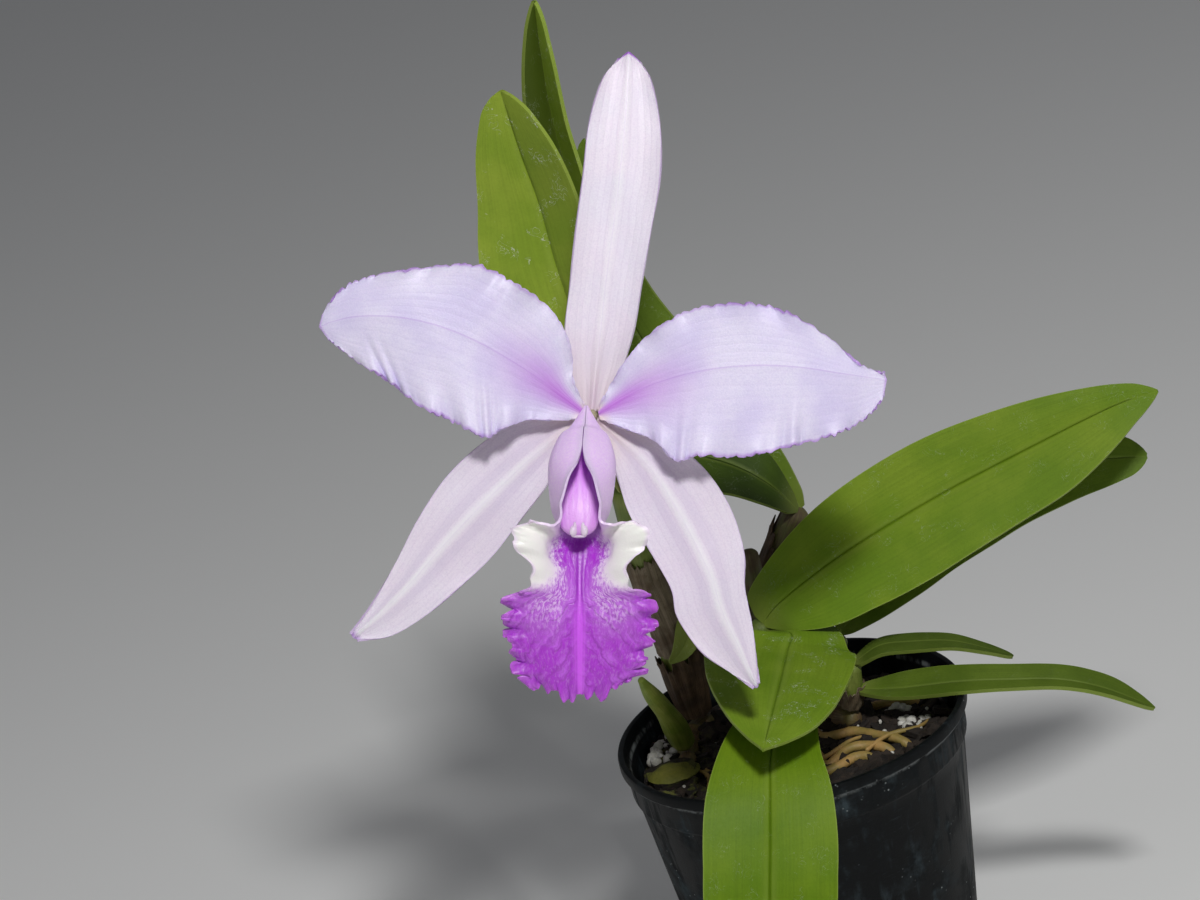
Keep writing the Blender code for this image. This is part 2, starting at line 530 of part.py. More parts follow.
LEFT_SEPAL = dict(
    left=[(-2.9, -1.6), (-8.6, -1.9), (-16.4, -3.5), (-23.4, -6.6), (-30.0, -12.9), (-35.8, -21.6), (-40.2, -30.2),
          (-45.4, -39.1), (-49.8, -45.2)],
    middle=[(-2.3, -2.3), (-6.6, -4.3), (-12.7, -9.2), (-18.9, -15.0), (-25.5, -21.6), (-31.7, -28.2),
            (-37.5, -35.0), (-43.8, -41.2), (-49.2, -45.9)],
    right=[(-1.5, -2.9), (-4.9, -7.6), (-9.0, -14.4), (-13.4, -22.0), (-19.5, -29.9), (-26.8, -36.9),
           (-33.4, -41.9), (-41.3, -45.6), (-48.3, -46.6)],
    depth=[-2.5, -3.4, -4.8, -6.0, -6.8, -7.4, -8.0, -8.8, -9.8],
    cup=[0.2, 0.5, 0.9, 1.1, 1.1, 1.0, 0.7, 0.4, 0.0], keel=-1.0, wave=0.3, wave_count=2.5, phase=2.0)
RIGHT_SEPAL = dict(
    left=[(1.5, -2.9), (3.7, -7.6), (5.5, -13.3), (7.6, -19.9), (11.5, -27.1), (16.3, -35.6), (17.7, -41.6),
          (22.5, -48.7), (28.3, -52.9), (33.5, -56.4)],
    middle=[(2.2, -2.3), (6.1, -5.1), (11.5, -10.4), (16.4, -17.4), (21.0, -25.7), (24.7, -33.6), (26.8, -40.2),
            (30.2, -47.5), (32.7, -53.1), (34.2, -56.2)],
    right=[(2.9, -1.5), (9.8, -3.1), (17.6, -6.3), (23.8, -11.7), (28.6, -19.1), (31.5, -28.2), (31.7, -35.7),
           (33.4, -44.4), (34.3, -52.3), (34.6, -55.4)],
    depth=[-2.5, -3.4, -4.6, -5.6, -6.2, -6.4, -6.8, -7.6, -8.4, -9.2],
    cup=[0.2, 0.5, 0.8, 1.0, 1.1, 1.1, 0.9, 0.7, 0.4, 0.0], keel=-1.0, wave=0.35, wave_count=3.0, phase=0.9)
LEFT_PETAL = dict(
    left=[(-2.2, 2.4), (-3.8, 7.6), (-4.5, 14.3), (-8.2, 21.4), (-15.7, 26.8), (-23.3, 30.4), (-32.7, 30.0),
          (-42.9, 28.6), (-50.5, 25.9), (-55.0, 20.4)],
    middle=[(-2.8, 1.3), (-6.5, 4.3), (-11.0, 7.6), (-16.7, 11.2), (-23.3, 14.9), (-31.0, 18.0), (-39.2, 19.8),
            (-47.4, 20.0), (-52.5, 19.0), (-55.4, 17.9)],
    right=[(-3.0, 0.2), (-8.2, -1.2), (-13.3, -1.2), (-18.2, -3.1), (-21.6, -4.7), (-27.3, -1.8), (-34.3, 1.4),
           (-41.2, 6.7), (-48.2, 11.2), (-53.5, 15.3)],
    depth=[-1.1, -0.4, 0.6, 1.6, 2.2, 2.4, 2.0, 0.8, -0.4, -1.4],
    cup=[0.1, 0.3, 0.6, 0.7, 0.4, 0.0, -0.4, -0.6, -0.4, 0.0], keel=-0.5, wave=0.9, wave_count=6.0, phase=0.6)
RIGHT_PETAL = dict(
    left=[(2.4, 2.8), (4.3, 5.5), (7.3, 10.8), (11.8, 16.3), (20.0, 21.2), (30.2, 22.6), (39.4, 21.0), (48.2, 15.7),
          (55.1, 10.0), (59.8, 8.4)],
    middle=[(2.9, 1.4), (6.7, 3.5), (11.8, 5.9), (18.4, 8.0), (25.7, 9.4), (33.9, 10.0), (42.4, 9.6), (50.6, 8.4),
            (56.3, 7.6), (60.2, 7.1)],
    right=[(3.2, 0.1), (7.8, -3.3), (12.9, -5.3), (17.1, -9.4), (22.0, -8.4), (31.2, -8.6), (41.4, -6.3),
           (50.2, -3.9), (56.3, -0.4), (59.6, 3.5)],
    depth=[-1.1, -0.4, 0.6, 1.6, 2.2, 2.4, 2.2, 1.4, 0.6, 0.6],
    cup=[0.1, 0.3, 0.6, 0.7, 0.4, 0.0, -0.4, -0.6, -0.2, 0.2], keel=-0.5, wave=0.9, wave_count=6.0, phase=2.2)
PETAL_ROWS = 26
PETAL_COLUMNS = 8
SEPAL_ROWS = 14
SEPAL_COLUMNS = 6

# Lip: per station the floor's (up, out), half the girth, and the slopes of the
# wall in degrees at five spots from the floor's middle to the edge, and how far
# the edge is swept up
LIP_STATIONS = [
    ((-2.6, 1.7), 8.2, (0, 45, 90, 135, 172), 0.0),
    ((-5.0, 2.9), 13.0, (0, 45, 90, 135, 173), 0.0),
    ((-8.5, 4.5), 17.6, (0, 45, 90, 135, 174), 0.0),
    ((-12.0, 6.1), 20.2, (0, 45, 90, 135, 173), 0.0),
    ((-15.0, 7.4), 20.6, (0, 45, 90, 132, 164), 0.0),
    ((-18.2, 8.7), 19.8, (0, 46, 91, 130, 156), 0.0),
    ((-21.4, 9.8), 18.2, (0, 47, 92, 124, 144), 0.0),
    ((-24.0, 10.8), 15.2, (0, 50, 89, 102, 88), 0.4),
    ((-25.8, 11.3), 16.6, (0, 42, 84, 58, 0), 1.9),
    ((-27.6, 11.8), 18.0, (0, 34, 78, 30, -15), 1.7),
    ((-29.6, 12.3), 17.2, (0, 32, 70, 30, -10), 0.2),
    ((-31.4, 12.8), 12.8, (0, 28, 52, 44, 30), -0.7),
    ((-33.6, 13.3), 11.4, (0, 24, 40, 38, 30), -0.2),
    ((-36.0, 13.8), 11.0, (0, 20, 32, 30, 20), 0.6),
    ((-38.0, 14.1), 14.6, (0, 14, 18, 8, -4), 1.6),
    ((-40.6, 14.3), 15.6, (0, 10, 10, -4, -14), 1.2),
    ((-43.6, 14.3), 15.6, (0, 6, 4, -8, -20), 0.8),
    ((-46.8, 14.1), 14.8, (0, 4, 2, -10, -22), 0.6),
    ((-50.0, 13.6), 13.4, (0, 4, 0, -10, -22), 0.6),
    ((-53.2, 12.9), 13.0, (0, 2, -2, -8, -18), 1.4),
    ((-57.2, 11.6), 10.6, (0, 0, -2, -4, -8), 3.6),
]
LIP_SIDEWAYS = [-1.0, -1.7, -2.0, -2.2, -2.3, -2.3, -2.3, -2.3]
LIP_ROWS = 35
LIP_COLUMNS = 16
FRONT_LOBE_START = 0.66
FRILL = 0.9
FRILL_COUNT = 11.0


def lip_place(along, across):
    """Lay the lip: a rolled tube, flared ears, a neck and a frilled lobe."""
    spine = through([station[0] for station in LIP_STATIONS], along)
    girth = through([station[1] for station in LIP_STATIONS], along)[:, 0]
    slopes = through([station[2] for station in LIP_STATIONS], along)
    sweep = through([station[3] for station in LIP_STATIONS], along)[:, 0]
    ahead = unit(
        through([station[0] for station in LIP_STATIONS], np.minimum(along + 0.01, 1.0))
        - through([station[0] for station in LIP_STATIONS], np.maximum(along - 0.01, 0.0)))
    reach = np.abs(across)
    steps = 24
    sideways = np.zeros(len(along))
    rise = np.zeros(len(along))
    for step in range(steps):
        middle = (step + 0.5) / steps * reach
        spot = middle * 4.0
        low = np.minimum(spot.astype(int), 3)
        share = spot - low
        share = share * share * (3.0 - 2.0 * share) * 0.35 + share * 0.65
        rows = np.arange(len(along))
        slope = np.radians(slopes[rows, low] * (1.0 - share) + slopes[rows, low + 1] * share)
        sideways += np.cos(slope) * girth * reach / steps
        rise += np.sin(slope) * girth * reach / steps
    front = np.clip((along - FRONT_LOBE_START) / 0.04, 0.0, 1.0)
    ear = np.exp(-((along - 0.44) / 0.05) ** 2)
    frill = (FRILL * front + 0.5 * ear) * reach ** 3
    beat = np.sin(2.0 * math.pi * FRILL_COUNT * along + 1.3 * np.sign(across))
    beat_two = np.sin(2.0 * math.pi * 1.7 * FRILL_COUNT * along + 0.8 + 2.1 * np.sign(across))
    rise = rise + frill * (beat + 0.5 * beat_two)
    sideways = sideways + 0.6 * frill * (beat_two - 0.3 * beat)
    end = np.clip((along - 0.86) / 0.14, 0.0, 1.0)
    up = spine[:, 0] + rise * ahead[:, 1] + sweep * reach ** 2
    up = up + 0.7 * end ** 4 * np.sin(9.5 * across + 0.6)
    out = spine[:, 1] - rise * ahead[:, 0] + 0.8 * end ** 4 * np.sin(12.0 * across)
    shift = through(LIP_SIDEWAYS, along)[:, 0]
    return flower_frame(np.column_stack([shift + np.sign(across) * sideways, up, out]))


COLUMN_LINE = [(-0.6, -1.3, 2.7), (-0.9, -4.0, 6.4), (-1.5, -8.0, 10.2), (-2.1, -13.0, 13.2), (-2.4, -18.0, 15.2),
               (-2.4, -22.0, 16.4)]
COLUMN_WIDTHS = [0.9, 1.7, 2.3, 3.1, 3.9, 3.4]
COLUMN_DEPTHS = [0.8, 1.4, 1.8, 2.1, 2.3, 2.0]
CAP_CENTRE = (-2.4, -23.9, 16.9)
CAP_SIZE = (2.9, 1.35, 1.8)


def rounded_body(line, widths, depths, rings, sides):
    """A body swept along a line, wider than it is deep, with closed ends."""
    bpy.ops.mesh.primitive_uv_sphere_add(segments=sides, ring_count=rings, radius=1.0)
    obj = bpy.context.object
    path = even(line)
    for vertex in obj.data.vertices:
        turn = math.acos(max(-1.0, min(1.0, vertex.co.z))) / math.pi
        along = np.array([min(1.0, max(0.0, (turn * rings - 1.0) / (rings - 2.0)))])
        ring = math.hypot(vertex.co.x, vertex.co.y)
        spread = 1.0 if ring > 0.001 else 0.0
        angle = math.atan2(vertex.co.y, vertex.co.x)
        ahead = unit(through(path, np.minimum(along + 0.02, 1.0)) - through(path, np.maximum(along - 0.02, 0.0)))[0]
        out = np.cross(np.array([1.0, 0.0, 0.0]), ahead)
        out = out / np.linalg.norm(out)
        side = np.cross(ahead, out)
        width = through(widths, along)[0, 0] * spread
        depth = through(depths, along)[0, 0] * spread
        spot = through(path, along)[0] + side * width * math.cos(angle) - out * depth * math.sin(angle)
        vertex.co = flower_frame(spot[None, :])[0] * MM
    return obj


def main():
    """Build every piece of the plant and its pot."""
    for obj in list(bpy.data.objects):
        bpy.data.objects.remove(obj, do_unlink=True)

    black = material("black_plastic", (0.02, 0.022, 0.026), 0.5)
    bark = material("bark", (0.06, 0.04, 0.03), 0.9)
    root = material("root", (0.55, 0.32, 0.12), 0.6)
    stem_green = material("stem_green", (0.23, 0.3, 0.07), 0.5)
    papery = material("papery_sheath", (0.3, 0.25, 0.18), 0.7)
    leaf_green = material("leaf_green", (0.2, 0.34, 0.05), 0.4)
    shoot_green = material("shoot_green", (0.38, 0.45, 0.1), 0.45)
    lilac = material("lilac", (0.72, 0.62, 0.82), 0.5)
    magenta = material("magenta", (0.55, 0.08, 0.55), 0.5)
    violet = material("violet", (0.68, 0.35, 0.72), 0.45)
    white = material("white_cap", (0.88, 0.84, 0.88), 0.4)

    make_pot(black)
    make_rhizome(root)
    make_mix(bark, rhizome_parts(GAP))

    finish(tube(FLOWERING_STEM, FLOWERING_STEM_RADII, 4.0), "pseudobulb_flowering", papery)
    finish(tube(BACK_STEM, BACK_STEM_RADII, 4.0), "pseudobulb_back", papery)
    finish(tube(OLD_STEM, OLD_STEM_RADII, 4.0), "pseudobulb_old", stem_green)
    finish(tube(RIGHT_UPPER_STEM, RIGHT_UPPER_STEM_RADII, 3.5), "pseudobulb_right_upper", stem_green)
    finish(tube(RIGHT_LOWER_STEM, RIGHT_LOWER_STEM_RADII, 3.5), "pseudobulb_right_lower", stem_green)
    finish(tube(SHORT_STEM, SHORT_STEM_RADII, 3.0), "pseudobulb_short", stem_green)
    finish(tube(NEW_SHOOT, NEW_SHOOT_RADII, 3.5), "new_shoot", shoot_green)

    for name, shape in LEAVES.items():
        small = name in ("flower_sheath", "small_bract")
        narrow = small or name.startswith("leaf_young")
        sheet(name, stem_green if small else leaf_green, leaf_place(**shape), 8 if small else LEAF_ROWS,
              4 if narrow else LEAF_COLUMNS, 0.7 if small else LEAF_THICKNESS)

    seat = flower_frame(np.array([(0.0, 0.0, -8.0), (0.0, 0.0, -3.0), (0.0, 0.0, 0.8)]))
    stalk = FLOWER_STALK + [tuple(spot) for spot in seat]
    finish(tube(stalk, FLOWER_STALK_RADII + [2.2, SEAT_RADIUS, SEAT_RADIUS - 0.2], 3.5), "flower_stalk", stem_green)
    sheet("dorsal_sepal", lilac, tepal_place(**DORSAL_SEPAL), SEPAL_ROWS, SEPAL_COLUMNS, SEPAL_THICKNESS)
    sheet("left_sepal", lilac, tepal_place(**LEFT_SEPAL), SEPAL_ROWS, SEPAL_COLUMNS, SEPAL_THICKNESS)
    sheet("right_sepal", lilac, tepal_place(**RIGHT_SEPAL), SEPAL_ROWS, SEPAL_COLUMNS, SEPAL_THICKNESS)
    sheet("left_petal", lilac, tepal_place(**LEFT_PETAL), PETAL_ROWS, PETAL_COLUMNS, PETAL_THICKNESS)
    sheet("right_petal", lilac, tepal_place(**RIGHT_PETAL), PETAL_ROWS, PETAL_COLUMNS, PETAL_THICKNESS)
    sheet("lip", magenta, lip_place, LIP_ROWS, LIP_COLUMNS, LIP_THICKNESS)
    finish(rounded_body(COLUMN_LINE, COLUMN_WIDTHS, COLUMN_DEPTHS, 10, 12), "column", violet)

    bpy.ops.mesh.primitive_uv_sphere_add(segments=12, ring_count=8, radius=1.0)
    cap = bpy.context.object
    for vertex in cap.data.vertices:
        spot = [centre + size * value for centre, size, value in zip(CAP_CENTRE, CAP_SIZE, vertex.co)]
        vertex.co = flower_frame(np.array([spot]))[0] * MM
    finish(cap, "anther_cap", white)


main()
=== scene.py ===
"""The looks of a potted orchid in flower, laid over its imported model.

Lengths are in millimetres and are made metres when a mesh is laid out.
"""
import math
import random

import bpy
import numpy as np
from mathutils import Matrix, Vector


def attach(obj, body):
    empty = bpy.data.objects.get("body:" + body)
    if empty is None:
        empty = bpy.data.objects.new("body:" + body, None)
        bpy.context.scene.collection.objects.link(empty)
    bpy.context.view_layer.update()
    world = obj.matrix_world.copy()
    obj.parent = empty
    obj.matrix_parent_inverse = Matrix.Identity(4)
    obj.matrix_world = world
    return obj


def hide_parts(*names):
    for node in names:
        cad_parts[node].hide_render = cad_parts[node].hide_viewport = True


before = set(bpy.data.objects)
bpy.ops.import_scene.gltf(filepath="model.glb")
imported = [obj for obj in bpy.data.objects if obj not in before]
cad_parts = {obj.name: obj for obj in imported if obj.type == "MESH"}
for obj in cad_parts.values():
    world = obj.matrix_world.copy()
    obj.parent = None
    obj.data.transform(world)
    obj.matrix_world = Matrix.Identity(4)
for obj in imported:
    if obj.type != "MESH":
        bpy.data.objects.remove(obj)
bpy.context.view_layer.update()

bl_info = {
    "name": "Potted Orchid Looks",
    "version": (1, 0, 0),
    "blender": (4, 5, 0),
    "location": "3D View > Sidebar > Orchid",
    "description": "Petals, leaves, stems, bark and pot of a flowering orchid",
    "category": "Object",
}

MM = 0.001
BODY = "root"

# Pot
POT_HEIGHT = 74.0
POT_RIM_RADIUS = 40.0
POT_LIP_HEIGHT = 2.8
POT_GROOVE_RADIUS = 38.9
POT_COLLAR_RADIUS = 38.6
POT_COLLAR_BOTTOM = 64.6
POT_BODY_TOP_RADIUS = 37.9
POT_BODY_BOTTOM_RADIUS = 30.0
POT_WALL = 1.2
POT_FLOOR = 1.6
DRAIN_HOLES = 5
DRAIN_HOLE_RADIUS = 3.5
DRAIN_CIRCLE_RADIUS = 18.0

# Potting mix
MIX_LEVEL = 66.0
MIX_MOUND = 2.0
MIX_SEED = 5
# Radii within which chips and grains are strewn, and beyond which grains are left out
CHIP_CIRCLE = 34.0
GRAIN_CIRCLE = 33.0
GRAIN_LIMIT = 34.2
GRAINS_IN_A_CLUSTER = 14
GRAIN_CLUSTERS = [(-31.0, 17.0), (-32.0, 12.5), (-30.5, 8.0), (-29.0, 19.5), (24.0, 5.0), (27.0, -4.0)]
GOLDEN_ANGLE = 2.399963
GREEN_CHIP_CENTRE = (-28.4, -2.4)
GREEN_CHIP_SIZE = (5.824, 4.784)
GREEN_CHIP_LEVEL = MIX_LEVEL + 2.2

# Creeping stem and roots
RHIZOME_HEIGHT = 67.4
RHIZOME_RADIUS = 2.6
ROOT_RADIUS = 1.1
RHIZOME_RUNS = [
    [(-8.0, 28.0), (-7.0, 23.5), (-5.0, 17.0), (-4.0, 10.5), (2.0, 10.0), (8.0, 11.0), (12.0, 7.5),
     (15.0, 3.0)],
    [(-6.0, 20.0), (-13.0, 21.0), (-20.0, 20.0), (-23.5, 13.0), (-24.6, 5.0), (-24.8, 2.0)],
]
ROOTS = [
    [(4.0, 9.0, 66.6), (6.4, 0.0, 67.0), (12.9, -1.6, 67.4), (17.3, -5.9, 67.4), (22.7, -11.3, 66.8),
     (26.0, -14.5, 62.0)],
    [(1.0, 9.0, 66.4), (3.5, -3.0, 66.8), (5.0, -14.0, 66.8), (10.2, -10.5, 67.6), (14.5, -10.3, 67.4),
     (18.9, -13.5, 66.8), (22.0, -16.0, 62.0)],
    [(-3.0, 9.0, 66.4), (-1.5, -6.0, 66.8), (1.5, -16.5, 66.8), (6.4, -17.4, 67.2), (11.6, -14.6, 67.2),
     (15.0, -16.0, 66.6), (17.0, -18.5, 62.0)],
    [(12.0, 8.0, 66.6), (20.0, 9.0, 67.2), (29.0, 6.0, 66.8), (32.0, 3.0, 62.0)],
    [(-24.6, 4.0, 66.8), (-20.6, -5.0, 66.8), (-21.0, -13.0, 66.8), (-19.0, -18.0, 62.0)],
    [(-8.0, 26.0, 66.8), (-3.0, 29.0, 66.8), (5.0, 30.0, 66.4), (9.0, 29.0, 61.5)],
]

THIN_ROOTS = [
    [(-4.0, -8.0, 67.6), (4.0, -13.0, 68.2), (12.0, -8.0, 68.4), (19.0, -4.0, 66.4)],
    [(14.0, -14.0, 67.8), (20.0, -10.0, 68.4), (27.0, -8.0, 67.6), (31.0, -2.0, 66.2)],
    [(-14.0, -20.0, 67.4), (-20.0, -12.0, 68.0), (-22.0, -4.0, 67.6), (-28.0, 4.0, 66.4)],
]
THIN_ROOT_RADII = [0.5, 0.55, 0.45, 0.3]

# Stems: points from the foot to the top, and the radius at each point
FLOWERING_STEM = [(-19.9, 20.0, 71.0), (-20.3, 19.0, 76.5), (-20.6, 17.0, 87.8), (-22.0, 14.5, 99.4),
                  (-23.6, 11.5, 111.8), (-23.9, 9.0, 125.7), (-23.3, 6.8, 135.2)]
FLOWERING_STEM_RADII = [3.2, 4.4, 4.2, 3.6, 3.3, 3.1, 3.7]
BACK_STEM = [(-7.0, 23.5, 71.0), (-5.6, 23.0, 77.0), (-2.5, 22.0, 84.6), (1.4, 22.0, 93.8),
             (5.4, 21.5, 101.8), (10.0, 21.0, 109.1), (13.8, 20.2, 114.6)]
BACK_STEM_RADII = [2.6, 3.2, 3.6, 3.8, 3.6, 3.2, 3.2]
OLD_STEM = [(-4.8, 16.0, 71.0), (-3.6, 14.6, 80.0), (-2.1, 14.0, 92.4), (-0.4, 14.3, 102.0),
            (0.0, 14.8, 110.0)]
OLD_STEM_RADII = [2.2, 2.4, 2.5, 2.4, 2.0]
RIGHT_UPPER_STEM = [(-4.0, 10.6, 70.5), (-4.2, 8.6, 80.0), (-2.8, 5.8, 90.0), (-0.9, 3.4, 97.0)]
RIGHT_UPPER_STEM_RADII = [2.6, 3.2, 3.2, 2.4]
RIGHT_LOWER_STEM = [(7.6, 11.2, 71.4), (9.6, 10.8, 76.0), (13.2, 9.8, 82.0), (15.0, 9.2, 87.0)]
RIGHT_LOWER_STEM_RADII = [2.5, 3.2, 3.0, 2.4]
SHORT_STEM = [(14.2, 5.0, 70.7), (15.0, 3.8, 74.5), (15.8, 2.8, 78.5), (16.8, 2.0, 82.2)]
SHORT_STEM_RADII = [2.2, 2.6, 2.3, 1.7]
NEW_SHOOT = [(-24.6, 5.6, 71.0), (-24.9, 4.0, 73.6), (-26.6, 0.0, 81.6), (-29.0, -4.0, 89.1),
             (-30.6, -7.2, 95.0)]
NEW_SHOOT_RADII = [2.7, 2.9, 2.2, 1.9, 0.7]
FLOWER_STALK = [(-23.3, 5.0, 133.0), (-23.9, -2.6, 147.4), (-25.2, -14.2, 159.4), (-26.2, -27.0, 166.0)]
FLOWER_STALK_RADII = [1.1, 1.1, 1.3, 1.8]

# Name, points, radii, skin, slot and node of each stem
STEMS = [
    ("flowering_stem", FLOWERING_STEM, FLOWERING_STEM_RADII, "green", "papery_sheath",
     "pseudobulb_flowering"),
    ("back_stem", BACK_STEM, BACK_STEM_RADII, "dull", "papery_sheath", "pseudobulb_back"),
    ("old_stem", OLD_STEM, OLD_STEM_RADII, "dull", "stem_green", "pseudobulb_old"),
    ("right_upper_stem", RIGHT_UPPER_STEM, RIGHT_UPPER_STEM_RADII, "green", "stem_green",
     "pseudobulb_right_upper"),
    ("right_lower_stem", RIGHT_LOWER_STEM, RIGHT_LOWER_STEM_RADII, "green", "stem_green",
     "pseudobulb_right_lower"),
    ("short_stem", SHORT_STEM, SHORT_STEM_RADII, "green", "stem_green", "pseudobulb_short"),
    ("shoot", NEW_SHOOT, NEW_SHOOT_RADII, "shoot", "shoot_green", "new_shoot"),
]

# Name, points, radii, stretch of the stem, seed, depth of the tears, flare and
# skin of each dry sheath
HUSKS = [
    ("husk_flowering_middle", FLOWERING_STEM, FLOWERING_STEM_RADII, (0.3, 0.72), 1.0, 0.12, 0.2, "papery"),
    ("husk_flowering_foot", FLOWERING_STEM, FLOWERING_STEM_RADII, (0.02, 0.34), 2.3, 0.3, 0.9, "brown"),
    ("husk_back_top", BACK_STEM, BACK_STEM_RADII, (0.62, 0.97), 3.1, 0.5, 0.8, "brown"),
    ("husk_back_foot", BACK_STEM, BACK_STEM_RADII, (0.03, 0.6), 4.2, 0.25, 0.3, "papery"),
    ("husk_old", OLD_STEM, OLD_STEM_RADII, (0.03, 0.7), 5.2, 0.4, 0.4, "brown"),
    ("husk_right_upper", RIGHT_UPPER_STEM, RIGHT_UPPER_STEM_RADII, (0.03, 0.55), 6.4, 0.4, 0.5, "papery"),
    ("husk_right_lower", RIGHT_LOWER_STEM, RIGHT_LOWER_STEM_RADII, (0.03, 0.5), 7.7, 0.4, 0.5, "papery"),
    ("husk_short", SHORT_STEM, SHORT_STEM_RADII, (0.05, 0.6), 8.3, 0.4, 0.5, "papery"),
]
HUSK_CLEARANCE = 0.32
HUSK_THICKNESS = 0.25

